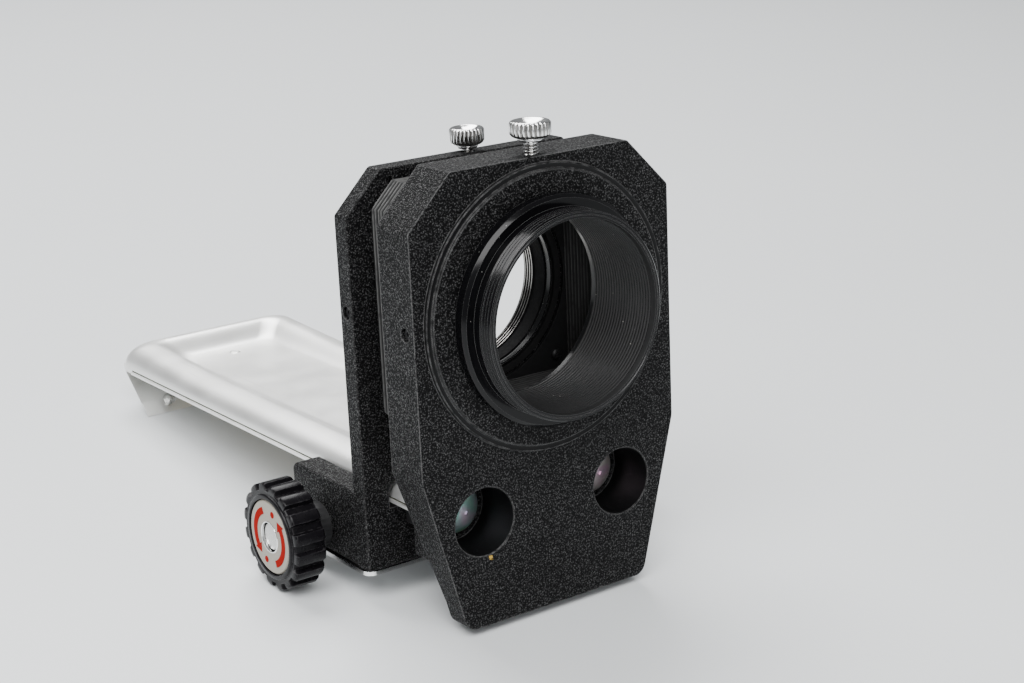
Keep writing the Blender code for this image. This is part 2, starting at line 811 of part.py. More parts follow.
def flush_pin(name, place, length, metal):
    """Rivet or countersunk screw whose head lies level with the sunken top."""
    profile = [
        (0, 0.0002),
        (0.0011, 0.0001),
        (0.0015, -0.0001),
        (0.0015, -length),
        (0, -length),
    ]
    pin = turned(name, profile, (*place, RAIL_FLOOR_Z), "Z", 12)
    return finish(pin, metal)


def stop_screw(name, side, steel):
    """Small screw through the leg; its round head stops the saddle."""
    seat = LEG_THICK + GAP
    profile = [
        (0, seat + 0.0014),
        (0.0012, seat + 0.0012),
        (0.0019, seat + 0.0006),
        (0.0019, seat),
        (0.0010, seat),
        (0.0010, 0),
        (0, 0),
    ]
    screw = turned(name, profile, stop_screw_place(side), "leg", 12)
    return finish(screw, steel)


def end_block(tin):
    """Block under the rail's lens end, tapped for the standard's screws."""
    corners = mirrored(
        [
            (0.0262, 0.0205),
            (0.0266, 0.0265),
            (0.0250, 0.0290),
            (0.0218, 0.0303),
            (0.0180, 0.0285),
            (0.0145, 0.0276),
        ]
    )
    middle = (0, RAIL_NEAR_Y + 0.0053, 0)
    block = outline("end_block", [corners], 0.0106, middle, "-Y")
    for side in (-1, 1):
        spot = (side * SOCKET_X, RAIL_NEAR_Y - 0.001, SOCKET_Z)
        cut(block, rod("tapped_hole", 0.0023, 0.0108, spot, "Y", 16))
    for x, y in block_screw_places():
        cut(block, rod("block_hole", 0.0018, 0.012, (x, y, 0.0290), "-Z", 16))
    return finish(block, tin)


# ---------------------------------------------------------------- drive


def rack(brass):
    """Toothed bar under the rail; a tooth space stands over the pinion at rest."""
    pitch = math.pi * MODULE
    pitch_line = SHAFT_Z + PITCH_RADIUS
    tip = pitch_line - RACK_ADDENDUM
    root = pitch_line + RACK_ROOT
    top = RAIL_FLOOR_Z - RAIL_SKIN - GAP
    lean = math.tan(PRESSURE_ANGLE)
    half_tooth = (pitch - BACKLASH) / 4
    tip_half = half_tooth - RACK_ADDENDUM * lean
    root_half = half_tooth + RACK_ROOT * lean
    loop = []
    for space in range(RACK_TEETH[0], RACK_TEETH[1]):
        centre = SHAFT_Y + (space + 0.5) * pitch
        loop.append((centre - root_half, root))
        loop.append((centre - tip_half, tip))
        loop.append((centre + tip_half, tip))
        loop.append((centre + root_half, root))
    loop.append((loop[-1][0] + 0.0020, root))
    loop.append((loop[-1][0], top))
    loop.append((loop[0][0] - 0.0040, top))
    loop.append((loop[0][0] - 0.0040, root))
    bar = outline("rack", [loop], 2 * RACK_HALF, (0, 0, 0), "side")
    for place in rivet_places():
        cut(bar, rod("rack_hole", 0.0018, 0.012, (*place, top + 0.002), "-Z", 16))
    return finish(bar, brass)


def involute(angle):
    return math.tan(angle) - angle


def pinion(brass):
    """Small gear with a tooth pointing straight up at rest."""
    base = PITCH_RADIUS * math.cos(PRESSURE_ANGLE)
    tip = PITCH_RADIUS + PINION_ADDENDUM
    root = PITCH_RADIUS - PINION_ROOT
    tooth_half = (math.pi * MODULE - BACKLASH) / 4 / PITCH_RADIUS
    radii = [base + (tip - base) * step / 3 for step in range(4)]
    flank = [(root, tooth_half + involute(PRESSURE_ANGLE))]
    for radius in radii:
        spread = tooth_half + involute(PRESSURE_ANGLE) - involute(math.acos(base / radius))
        flank.append((radius, spread))
    loop = []
    for tooth in range(PINION_TEETH):
        middle = math.pi / 2 + 2 * math.pi * tooth / PINION_TEETH
        tooth_points = [(radius, middle - spread) for radius, spread in flank]
        tooth_points += [(radius, middle + spread) for radius, spread in reversed(flank)]
        loop += [(r * math.cos(a), r * math.sin(a)) for r, a in tooth_points]
    loops = [loop, circle(SHAFT_RADIUS + GAP, 20)]
    gear = outline("pinion", loops, 2 * RACK_HALF, (0, SHAFT_Y, SHAFT_Z), "side")
    return finish(gear, brass, 25)


def drive_shaft(steel):
    """Shaft across the saddle; its left end shows in the clamp knob."""
    half = KNOB_OUTER_X - 0.0012
    profile = [
        (0, half),
        (SHAFT_RADIUS - 0.0004, half),
        (SHAFT_RADIUS, half - 0.0004),
        (SHAFT_RADIUS, -half + 0.0014),
        (0, -half + 0.0014),
    ]
    shaft = turned("drive_shaft", profile, (0, SHAFT_Y, SHAFT_Z), "-X", 18)
    slot_left = -half - 0.001
    slot = box(
        "shaft_slot",
        (slot_left, SHAFT_Y - 0.004, SHAFT_Z - 0.0004),
        (slot_left + 0.0018, SHAFT_Y + 0.004, SHAFT_Z + 0.0004),
    )
    cut(shaft, slot)
    return finish(shaft, steel)


def shaft_piece(name, inner, outer, start_x, end_x, metal, steps=18):
    """Plain ring on the shaft between two places along X."""
    length = abs(end_x - start_x)
    profile = [(inner, length / 2), (outer, length / 2), (outer, -length / 2), (inner, -length / 2)]
    middle = ((start_x + end_x) / 2, SHAFT_Y, SHAFT_Z)
    return finish(turned(name, profile, middle, "X", steps), metal)


def ridge_outline():
    """Fluted grip: broad ridges with narrow grooves between them."""
    groove = 0.0013
    corners = ((0.10, 0), (0.62, 0), (0.70, groove), (0.98, groove))  # share of a ridge, depth
    loop = []
    for ridge in range(KNOB_RIDGES):
        for share, depth in corners:
            angle = 2 * math.pi * (ridge + share) / KNOB_RIDGES
            radius = KNOB_RADIUS - depth
            loop.append((radius * math.cos(angle), radius * math.sin(angle)))
    return loop


def knob(name, side, hub, plastic):
    """Fluted knob with a sunken outer face; the drive knob has its hub moulded on."""
    thick = KNOB_OUTER_X - KNOB_INNER_X
    middle = (side * (KNOB_INNER_X + KNOB_OUTER_X) / 2, SHAFT_Y, SHAFT_Z)
    grip = outline(name, [ridge_outline()], thick, middle, "X" if side > 0 else "-X")
    bevel(grip, 0.0006, 1, 60)
    if hub:
        start = (side * (KNOB_INNER_X + 0.001), SHAFT_Y, SHAFT_Z)
        reach = KNOB_INNER_X + 0.001 - REAR_HALF - GAP
        join(grip, rod(name + "_hub", COLLAR_RADIUS, reach, start, "-X", 28))
    face = (side * (KNOB_OUTER_X - 0.0012), SHAFT_Y, SHAFT_Z)
    outward = "X" if side > 0 else "-X"
    cut(grip, rod(name + "_recess", DISC_RADIUS + GAP, 0.003, face, outward, 40))
    inner = (side * (REAR_HALF - 0.002), SHAFT_Y, SHAFT_Z)
    cut(grip, rod(name + "_bore", SHAFT_RADIUS + GAP, 0.02, inner, outward, 24))
    return finish(grip, plastic, 30)


def knob_disc(name, side, hole, face_metal):
    """Thin disc in the knob's face."""
    loops = [circle(DISC_RADIUS, 40)]
    if hole:
        loops.append(circle(hole, 24))
    middle = (side * (KNOB_OUTER_X - 0.0005), SHAFT_Y, SHAFT_Z)
    return finish(outline(name, loops, 0.0008, middle, "X" if side > 0 else "-X"), face_metal)


# ---------------------------------------------------------------- assembly


def clear_scene():
    for obj in list(bpy.data.objects):
        bpy.data.objects.remove(obj)
    for group in (PARTS, CUTTERS):
        bpy.context.scene.collection.children.link(group)


def main():
    clear_scene()
    crackle = material("crackle_black", (0.022, 0.022, 0.024), 0.55, 0.0)
    gloss = material("gloss_black", (0.012, 0.012, 0.013), 0.18, 0.0)
    aluminium = material("satin_aluminium", (0.74, 0.74, 0.73), 0.38, 1.0)
    chrome = material("chrome", (0.80, 0.80, 0.79), 0.15, 1.0)
    zinc = material("zinc_plate", (0.45, 0.50, 0.46), 0.30, 1.0)
    steel = material("steel", (0.55, 0.55, 0.54), 0.35, 1.0)
    brass = material("brass", (0.72, 0.55, 0.27), 0.35, 1.0)
    cloth = material("bellows_cloth", (0.014, 0.014, 0.015), 0.80, 0.0)
    plastic = material("knob_plastic", (0.016, 0.016, 0.017), 0.35, 0.0)
    label = material("label_grey", (0.62, 0.61, 0.58), 0.45, 0.0)
    nylon = material("nylon", (0.75, 0.74, 0.68), 0.50, 0.0)
    blackened = material("blackened_tin", (0.020, 0.020, 0.021), 0.45, 0.6)

    # Rail, with everything fixed to it
    rail(aluminium)
    rack(brass)
    for name, place in zip(("rack_rivet_front", "rack_rivet_rear"), rivet_places()):
        flush_pin(name, place, 0.0070, aluminium)
    end_block(blackened)
    for name, place in zip(("block_screw_left", "block_screw_right"), block_screw_places()):
        flush_pin(name, place, 0.0085, steel)
    for name, side in (("left", -1), ("right", 1)):
        stop_screw("stop_screw_" + name, side, steel)
        socket_screw("standard_screw_" + name, side, zinc)
    front_standard(crackle)
    lens_ring(gloss)
    side_grub("front_side_grub", FRONT_HALF, FRONT_Y + LINE_Y, blackened)
    front_frame_y = FRONT_Y + FRONT_THICK + GAP
    bellows_frame("bellows_front_frame", front_frame_y, blackened)
    for number, place in enumerate(frame_screw_places(), 1):
        face = front_frame_y + FRAME_THICK
        frame_screw(f"front_frame_screw_{number}", place, face, "Y", blackened)
    bellows(cloth)

    # Carriage
    carriage = axis_empty("carriage_slide", (0, REAR_Y, SHAFT_Z))
    rear_frame_y = REAR_Y - GAP - FRAME_THICK
    pieces = [
        rear_standard(crackle),
        camera_ring(gloss),
        bellows_frame("bellows_rear_frame", rear_frame_y, blackened),
        side_grub("rear_side_grub", REAR_HALF, REAR_LINE_Y, blackened),
        bottom_plate(chrome),
        tripod_bush(steel),
    ]
    for number, place in enumerate(frame_screw_places(), 1):
        pieces.append(frame_screw(f"rear_frame_screw_{number}", place, rear_frame_y, "-Y", blackened))
    for number, place in enumerate(plate_screw_places(), 1):
        pieces.append(plate_screw(f"plate_screw_{number}", place, steel))
    for name, side in (("left", -1), ("right", 1)):
        pieces.append(guide_pad("guide_pad_" + name, side, nylon))
        start = side * (CHANNEL_HALF + 0.0008)
        end = side * (REAR_HALF - 0.0002)
        pieces.append(
            shaft_piece("shaft_bush_" + name, SHAFT_RADIUS + 0.0001, BUSH_RADIUS, start, end, brass)
        )
    carry(carriage, *pieces)

    # Drive shaft and what turns with it
    drive = axis_empty("drive_axis", (0, SHAFT_Y, SHAFT_Z))
    pieces = [
        drive_shaft(steel),
        pinion(brass),
        knob("drive_knob", 1, True, plastic),
        knob_disc("drive_disc", 1, 0, label),
    ]
    for name, side in (("left", -1), ("right", 1)):
        start = side * (CHANNEL_HALF - 0.0016)
        end = side * (CHANNEL_HALF - 0.0004)
        pieces.append(shaft_piece("shaft_ring_" + name, SHAFT_RADIUS + 0.0001, 0.0044, start, end, steel))
    carry(drive, *pieces)

    # Clamp knob, threaded on the shaft's left end
    clamp = axis_empty("clamp_axis", (-KNOB_INNER_X, SHAFT_Y, SHAFT_Z))
    start = -(REAR_HALF + GAP)
    end = -(KNOB_INNER_X - GAP)
    collar = shaft_piece(
        "clamp_collar", SHAFT_RADIUS + 0.0001, COLLAR_RADIUS, start, end, blackened, 24
    )
    carry(
        clamp,
        collar,
        knob("clamp_knob", -1, False, plastic),
        knob_disc("clamp_disc", -1, 0.0036, label),
    )

    # Thumbscrews
    for name, size, top, line_y in (
        ("front", FRONT_THUMB, FRONT_TOP, FRONT_Y + LINE_Y),
        ("rear", REAR_THUMB, REAR_TOP, REAR_LINE_Y),
    ):
        axis = axis_empty(name + "_thumb_axis", (0, line_y, top))
        carry(
            axis,
            thumb_shank(name + "_thumb_shank", size, top, line_y, chrome),
            thumb_head(name + "_thumb_head", size, line_y, chrome),
        )


main()
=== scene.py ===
"""Looks of the close-up bellows unit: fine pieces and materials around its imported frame.

Metres, +Z up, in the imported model's own frame: the optical axis and the rail run along Y, the
lens end is at -Y, the clamp knob is at -X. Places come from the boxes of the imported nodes.
"""

import json
import math

import bmesh
import bpy
from mathutils import Euler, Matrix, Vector, noise


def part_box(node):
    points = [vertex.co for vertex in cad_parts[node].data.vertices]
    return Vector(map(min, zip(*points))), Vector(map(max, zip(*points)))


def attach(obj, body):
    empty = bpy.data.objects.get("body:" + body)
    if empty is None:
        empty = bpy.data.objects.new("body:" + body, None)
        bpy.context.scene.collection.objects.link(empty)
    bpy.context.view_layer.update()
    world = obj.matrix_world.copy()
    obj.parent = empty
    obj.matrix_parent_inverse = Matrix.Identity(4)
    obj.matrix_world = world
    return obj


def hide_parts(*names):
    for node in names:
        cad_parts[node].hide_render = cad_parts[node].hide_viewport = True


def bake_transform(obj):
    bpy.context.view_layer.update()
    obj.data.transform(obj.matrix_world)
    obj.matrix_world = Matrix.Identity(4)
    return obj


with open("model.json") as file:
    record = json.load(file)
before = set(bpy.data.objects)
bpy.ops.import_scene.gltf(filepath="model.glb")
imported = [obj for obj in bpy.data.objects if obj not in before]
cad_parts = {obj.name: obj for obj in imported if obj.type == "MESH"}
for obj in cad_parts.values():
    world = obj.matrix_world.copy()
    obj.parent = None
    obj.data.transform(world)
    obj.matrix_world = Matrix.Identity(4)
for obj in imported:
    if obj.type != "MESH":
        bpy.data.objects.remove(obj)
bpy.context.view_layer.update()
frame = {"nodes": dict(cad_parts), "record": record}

# ---------------------------------------------------------------- places, from the frame

FRONT_LOW, FRONT_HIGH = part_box("front_standard")
REAR_LOW, REAR_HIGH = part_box("rear_standard")
RING_LOW, RING_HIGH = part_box("lens_ring")
CAMERA_LOW, CAMERA_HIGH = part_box("camera_ring")
RAIL_LOW, RAIL_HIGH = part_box("rail")
SHAFT_LOW, SHAFT_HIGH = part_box("drive_shaft")
KNOB_LOW, KNOB_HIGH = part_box("clamp_knob")
PLATE_LOW, PLATE_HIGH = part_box("bottom_plate")
BELLOWS_LOW, BELLOWS_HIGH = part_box("bellows")

AXIS_Z = (RING_LOW.z + RING_HIGH.z) / 2
SHAFT_Y = (SHAFT_LOW.y + SHAFT_HIGH.y) / 2
SHAFT_Z = (SHAFT_LOW.z + SHAFT_HIGH.z) / 2
GAP = 0.0003  # between touching pieces

# Front standard: FACE_Y is its flat face, which the boss and the lens ring stand in front of
BOSS_RISE = 0.0016
BOSS_RADIUS = 0.0352
BAND_INNER = 0.0334
FACE_Y = FRONT_LOW.y + BOSS_RISE
FRONT_THICK = 0.01315
FRONT_HALF = FRONT_HIGH.x
FRONT_TOP = FRONT_HIGH.z
PAINT_EDGE = 0.0007
BORE_RADIUS = 0.0272
LINE_Y = FACE_Y + 0.0038
SOCKET_X, SOCKET_Z = 0.02094, 0.02683
SOCKET_RADIUS, SOCKET_DEPTH = 0.00854, 0.0133
CHIP_PLACE = (-0.0197, FACE_Y, 0.0174)  # small chip in the paint

# Rear standard and saddle
INNER_RING_RISE = 0.0009
REAR_Y = REAR_LOW.y + INNER_RING_RISE
REAR_THICK = 0.00535
REAR_HALF = REAR_HIGH.x
REAR_BORE = 0.0225
REAR_LINE_Y = REAR_Y + REAR_THICK / 2
SADDLE_TOP = 0.0296
WEB_TOP, WEB_THICK = 0.0212, 0.0020
CHANNEL_HALF = 0.0256
LEDGE_Z = 0.0250

# Rail
RAIL_HALF = 0.0295
RAIL_SKIN = 0.0018
SKIRT_Z, SIDE_Z, CREST_Z, FLOOR_Z = 0.0264, 0.0276, 0.0329, 0.0299
CREST_LIFT = RAIL_HIGH.z - CREST_Z  # extra height of the hump at the far end
LIFT_FROM_Y, LIFT_TO_Y = 0.0520, 0.0900
HUMP_HALF = 0.0077
RAIL_CORNER, TROUGH_CORNER = 0.0055, 0.0040
LIP_HALF = RAIL_HIGH.x
LIP_END_Y = FACE_Y + 0.1760
LIP_TOP = 0.0272
LEG_HALF, LEG_THICK = 0.0280, 0.0019
LEG_LOW_Y, LEG_LOW_Z = RAIL_HIGH.y - 0.0141, 0.0135
LEG_TOP_Y, LEG_TOP_Z = RAIL_HIGH.y - 0.0004, 0.0257
RIVET_YS = (FACE_Y + 0.0360, FACE_Y + 0.1640)
BLOCK_SCREW = (0.0085, FACE_Y + 0.0215)

FRAME_SCREW_AT, FRAME_SCREW_HOLE = 0.0218, 0.0011
GRUB_HOLE = 0.0017
SHAFT_RADIUS = 0.0025
DISC_RADIUS = 0.00965
KNOB_RADIUS = 0.0141

FINE = 144  # steps round a large ring

# The photographed view, solved from the picture's edges
CAMERA_PLACE = (-0.2700, -0.4537, 0.20024)
CAMERA_TURN = tuple(math.radians(angle) for angle in (73.809, 2.507, -35.954))
CAMERA_LENS, SENSOR_WIDTH = 69.59, 36  # mm

TURNS = {
    "Z": (0, 0, 0),
    "-Z": (math.pi, 0, 0),
    "X": (0, math.pi / 2, 0),
    "-X": (0, -math.pi / 2, 0),
    "Y": (-math.pi / 2, 0, 0),
    "-Y": (math.pi / 2, 0, 0),
    "side": (math.pi / 2, 0, math.pi / 2),  # outline in Y and Z, thickness along X
}
DRAWN = 1000  # curve units to a metre
tools = []  # cutters and joined shapes, removed once a piece is settled


# ---------------------------------------------------------------- shader nodes


def rgba(value):
    """Colour for a socket: three numbers, or one for a grey."""
    return (*value, 1) if isinstance(value, tuple) else (value, value, value, 1)


class Shader:
    """One material's node tree. Every method adds nodes and returns an output socket."""

    def __init__(self, name):
        self.material = bpy.data.materials.new(name)
        self.material.use_nodes = True
        self.tree = self.material.node_tree
        self.surface = self.tree.nodes["Principled BSDF"]
        self.place = self.add("TexCoord").outputs["Object"]

    def add(self, kind, sockets=None, **settings):
        made = self.tree.nodes.new("ShaderNode" + kind)
        for key, value in settings.items():
            setattr(made, key, value)
        for key, value in (sockets or {}).items():
            if isinstance(value, bpy.types.NodeSocket):
                self.tree.links.new(value, made.inputs[key])
            else:
                made.inputs[key].default_value = value
        return made

    def noise(self, size, detail=2.0, rough=0.5, place=None):
        """Noise whose features are about size metres across."""
        sockets = {"Vector": place or self.place, "Scale": 1 / size, "Detail": detail, "Roughness": rough}
        return self.add("TexNoise", sockets).outputs["Fac"]

    def cells(self, size, place=None, feature="SMOOTH_F1"):
        sockets = {"Vector": place or self.place, "Scale": 1 / size}
        return self.add("TexVoronoi", sockets, feature=feature).outputs["Distance"]

    def stretched(self, scale):
        """Coordinates scaled along each axis, for a grain that has a direction."""
        return self.add("Mapping", {"Vector": self.place, "Scale": scale}).outputs["Vector"]

    def warped(self, size, amount):
        """Coordinates pushed about by noise."""
        sockets = {"Vector": self.place, "Scale": 1 / size, "Detail": 2.0}
        push = self.add("TexNoise", sockets).outputs["Color"]
        sockets = {0: push, 1: (amount,) * 3, 2: self.place}
        return self.add("VectorMath", sockets, operation="MULTIPLY_ADD").outputs["Vector"]

    def spread(self, value, low, high, to_low=0.0, to_high=1.0):
        sockets = {"Value": value, "From Min": low, "From Max": high, "To Min": to_low, "To Max": to_high}
        return self.add("MapRange", sockets).outputs["Result"]

    def maths(self, operation, first, second=0.0):
        return self.add("Math", {0: first, 1: second}, operation=operation).outputs["Value"]

    def mix(self, share, first, second):
        """Colour between two colours."""
        made = self.add("Mix", data_type="RGBA")
        made.clamp_factor = True
        for index, value in ((0, share), (6, first), (7, second)):
            if isinstance(value, bpy.types.NodeSocket):
                self.tree.links.new(value, made.inputs[index])
            else:
                made.inputs[index].default_value = value if index == 0 else rgba(value)
        return made.outputs[2]

    def over(self, colour, mask, strength, top):
        """Colour with another laid over it where the mask is high."""
        return self.mix(self.maths("MULTIPLY", mask, strength), colour, top)

    def bump(self, height, distance, strength):
        sockets = {"Height": height, "Distance": distance, "Strength": strength}
        return self.add("Bump", sockets).outputs["Normal"]

    def edge_wear(self, radius):
        """Near 1 on convex and concave edges, 0 on flat faces."""
        rounded_normal = self.add("Bevel", {"Radius": radius}, samples=6).outputs["Normal"]
        flat_normal = self.add("NewGeometry").outputs["Normal"]
        sockets = {0: rounded_normal, 1: flat_normal}
        dot = self.add("VectorMath", sockets, operation="DOT_PRODUCT").outputs["Value"]
        return self.spread(dot, 0.995, 0.90)

    def rubbed_edges(self, radius, patch, low, high):
        """Edge wear that comes and goes in patches."""
        return self.maths("MULTIPLY", self.edge_wear(radius), self.spread(self.noise(patch), low, high))

    def from_axis(self):
        """Distance from the optical axis."""
        parts = self.add("SeparateXYZ", {"Vector": self.place})
        height = self.maths("SUBTRACT", parts.outputs["Z"], AXIS_Z)
        across = self.maths("MULTIPLY", parts.outputs["X"], parts.outputs["X"])
        up = self.maths("MULTIPLY", height, height)
        return self.maths("SQRT", self.maths("ADD", across, up))

    def turning_lines(self, size, detail, rough):
        """Noise in rings round the optical axis."""
        rings = self.add("CombineXYZ", {"X": self.from_axis()}).outputs["Vector"]
        return self.noise(size, detail, rough, rings)

    def set(self, **values):
        """Principled inputs, by name with _ for a space; colours as three numbers."""
        for key, value in values.items():
            socket = self.surface.inputs[key.replace("_", " ")]
            if isinstance(value, bpy.types.NodeSocket):
                self.tree.links.new(value, socket)
            else:
                socket.default_value = (*value, 1) if isinstance(value, tuple) else value
        return self.material


def crackle_black():
    """Wrinkle paint: pebbles whose tops carry a painted glint in the base colour, a dark network between
    them, and lighter edges that are partly rubbed wear and partly a painted edge highlight.
    """
    paint = Shader("crackle_black")
    pebbles = paint.cells(0.00042, paint.warped(0.00036, 0.00024))
    grain = paint.noise(0.00024, 2.0, 0.6)
    height = paint.maths("SUBTRACT", paint.maths("MULTIPLY", grain, 0.6), pebbles)
    tops = paint.spread(height, -0.20, 0.14)
    # painted highlight: the pebble tops are made lighter in the base colour, standing in for glints
    painted_glint = paint.maths("POWER", tops, 2.3)
    patches = paint.spread(paint.noise(0.0016, 2.0), 0.35, 0.65, 0.60, 1.0)
    wear_and_painted_edge_highlight = paint.rubbed_edges(0.0005, 0.0011, 0.30, 0.52)
    painted_glint_colour = paint.maths("MULTIPLY", painted_glint, patches)
    colour = paint.mix(painted_glint_colour, (0.0004, 0.0004, 0.0006), (0.078, 0.078, 0.079))
    # lighter edges: partly rubbed wear, partly a painted edge highlight
    colour = paint.over(colour, wear_and_painted_edge_highlight, 0.8, 0.12)
    chip = paint.add("VectorMath", {0: paint.place, 1: CHIP_PLACE}, operation="DISTANCE").outputs["Value"]
    chip = paint.maths("ADD", chip, paint.maths("MULTIPLY", paint.noise(0.0005), 0.0012))
    colour = paint.mix(paint.spread(chip, 0.00120, 0.00100), colour, (0.42, 0.27, 0.05))
    return paint.set(
        Base_Color=colour,
        Roughness=paint.spread(tops, 0.0, 1.0, 0.62, 0.34),
        Specular_IOR_Level=0.11,
        Normal=paint.bump(height, 0.00020, 0.9),
    )


def smooth_black():
    """Machined and thinly painted black, with faint turning lines; its lighter edges are partly rubbed wear
    and partly a painted edge highlight.
    """
    paint = Shader("smooth_black")
    lines = paint.turning_lines(0.00022, 2.0, 0.6)
    grain = paint.noise(0.00045, 3.0)
    wear_and_painted_edge_highlight = paint.rubbed_edges(0.00035, 0.0016, 0.30, 0.62)
    colour = paint.mix(grain, (0.0020, 0.0020, 0.0023), (0.0055, 0.0055, 0.0058))
    # lighter edges: partly rubbed wear, partly a painted edge highlight
    colour = paint.over(colour, wear_and_painted_edge_highlight, 0.7, 0.19)
    return paint.set(
        Base_Color=colour,
        Roughness=paint.spread(grain, 0.3, 0.7, 0.30, 0.44),
        Specular_IOR_Level=0.15,
        Normal=paint.bump(paint.maths("ADD", lines, grain), 0.00004, 0.5),
    )


def gloss_black():
    """Gloss black anodising with specks of dust."""
    paint = Shader("gloss_black")
    lines = paint.turning_lines(0.00030, 1.0, 0.5)
    specks = paint.spread(paint.cells(0.0024, feature="F1"), 0.055, 0.035)
    smear = paint.noise(0.009, 3.0, 0.55)
    colour = paint.mix(specks, (0.0022, 0.0022, 0.0026), (0.20, 0.20, 0.19))
    # lighter edges: partly worn anodising, partly a painted edge highlight
    colour = paint.over(colour, paint.edge_wear(0.00010), 0.5, 0.22)
    return paint.set(
        Base_Color=colour,
        Roughness=paint.spread(smear, 0.35, 0.70, 0.12, 0.20),
        Specular_IOR_Level=0.20,
        Normal=paint.bump(lines, 0.00001, 0.35),
    )


def bore_black():
    """Matt black inside a ring, paler where it is rubbed."""
    paint = Shader("bore_black")
    grain = paint.noise(0.0005, 3.0, 0.6)
    patches = paint.noise(0.010, 3.0)
    specks = paint.spread(paint.cells(0.0030, feature="F1"), 0.050, 0.035)
    colour = paint.mix(patches, (0.0075, 0.0075, 0.0080), 0.0150)
    colour = paint.over(colour, specks, 0.7, (0.28, 0.27, 0.25))
    return paint.set(
        Base_Color=colour,
        Roughness=paint.spread(grain, 0.3, 0.7, 0.42, 0.56),
        Specular_IOR_Level=0.30,
        Normal=paint.bump(grain, 0.00002, 0.5),
    )


def baffle_black():
    """Dead matt black that stops stray light, with a little dust."""
    paint = Shader("baffle_black")
    grain = paint.noise(0.0007, 3.0, 0.6)
    dust = paint.spread(paint.noise(0.0020, 4.0, 0.7), 0.55, 0.80, 0.0, 0.6)
    return paint.set(
        Base_Color=paint.mix(dust, (0.0055, 0.0055, 0.0060), 0.018),
        Roughness=paint.spread(grain, 0.3, 0.7, 0.65, 0.85),
        Specular_IOR_Level=0.06,
        Normal=paint.bump(grain, 0.00003, 0.5),
    )


def satin_aluminium():
    """Bead-blasted and clear anodised aluminium with soft handling marks."""
    metal = Shader("satin_aluminium")
    grain = metal.noise(0.00016, 3.0, 0.7)
    smudge = metal.noise(0.014, 4.0, 0.6)
    along = metal.stretched((1.0, 0.012, 1.0))
    scratches = metal.spread(metal.noise(0.0010, 1.0, 0.5, along), 0.70, 0.73)
    stains = metal.spread(metal.noise(0.0022, 3.0, 0.6), 0.66, 0.76)
    colour = metal.mix(smudge, (0.84, 0.84, 0.82), (0.91, 0.91, 0.895))
    colour = metal.over(colour, scratches, 0.22, (0.62, 0.62, 0.60))
    colour = metal.over(colour, stains, 0.20, (0.66, 0.64, 0.58))
    return metal.set(
        Base_Color=colour,
        Metallic=0.9,
        Roughness=metal.spread(smudge, 0.3, 0.7, 0.40, 0.48),
        Normal=metal.bump(grain, 0.000014, 0.8),
    )


def groove_painted_shade():
    """Painted shade in a narrow groove: dark colour in clumps."""
    shade_paint = Shader("groove_painted_shade")
    clumps = shade_paint.noise(0.0011, 3.0, 0.6, shade_paint.stretched((1.0, 0.3, 1.0)))
    return shade_paint.set(
        Base_Color=shade_paint.mix(clumps, (0.020, 0.019, 0.009), (0.13, 0.125, 0.07)),
        Roughness=shade_paint.spread(clumps, 0.3, 0.7, 0.5, 0.7),
        Normal=shade_paint.bump(clumps, 0.00005, 0.6),
    )


def turned_metal(name, dark, light, rough_low, rough_high):
    """Bright metal with fine machining lines and slight stains."""
    metal = Shader(name)
    lines = metal.noise(0.00012, 2.0, 0.6)
    stain = metal.noise(0.0022, 3.0, 0.6)
    return metal.set(
        Base_Color=metal.mix(stain, dark, light),
        Metallic=1.0,
        Roughness=metal.spread(stain, 0.35, 0.70, rough_low, rough_high),
        Normal=metal.bump(lines, 0.000008, 0.6),
    )


def zinc_plate():
    """Passivated zinc whose film runs from green through blue-grey to pink."""
    metal = Shader("zinc_plate")
    film = metal.noise(0.0060, 1.0, 0.40, metal.warped(0.004, 0.001))
    stain = metal.noise(0.0007, 3.0, 0.6)
    stained = metal.spread(stain, 0.55, 0.8, 0.0, 0.25)
    across = metal.add("SeparateXYZ", {"Vector": metal.place}).outputs["X"]
    share = metal.maths("ADD", film, metal.spread(across, -0.02, 0.02, -0.18, 0.22))
    ramp = metal.add("ValToRGB", {"Fac": share})
    stops = ((0.18, (0.46, 0.76, 0.48)), (0.38, (0.40, 0.66, 0.60)), (0.52, (0.66, 0.62, 0.72)),
             (0.68, (0.86, 0.62, 0.76)), (0.85, (0.88, 0.82, 0.80)))
    for index, (place, colour) in enumerate(stops):
        stop = ramp.color_ramp.elements[index] if index < 2 else ramp.color_ramp.elements.new(place)
        stop.position = place
        stop.color = (*colour, 1)
    return metal.set(
        Base_Color=metal.mix(stained, ramp.outputs["Color"], (0.72, 0.70, 0.66)),
        Metallic=0.9,
        Roughness=metal.spread(stain, 0.3, 0.7, 0.34, 0.44),
        Normal=metal.bump(stain, 0.000008, 0.4),
    )


def bellows_cloth():
    """Coated cloth: matt and finely woven, rubbed along its creases."""
    cloth = Shader("bellows_cloth")
    weave = cloth.cells(0.00028)
    crease = cloth.add("Attribute", attribute_name="crease").outputs["Fac"]
    rubbed = cloth.maths("MULTIPLY", crease, cloth.spread(cloth.noise(0.0022, 3.0), 0.25, 0.50))
    colour = cloth.mix(rubbed, (0.0050, 0.0050, 0.0054), (0.085, 0.085, 0.083))
    return cloth.set(
        Base_Color=colour,
        Roughness=cloth.spread(rubbed, 0.0, 1.0, 0.72, 0.46),
        Sheen_Weight=0.15,
        Normal=cloth.bump(weave, 0.00003, 0.6),
    )


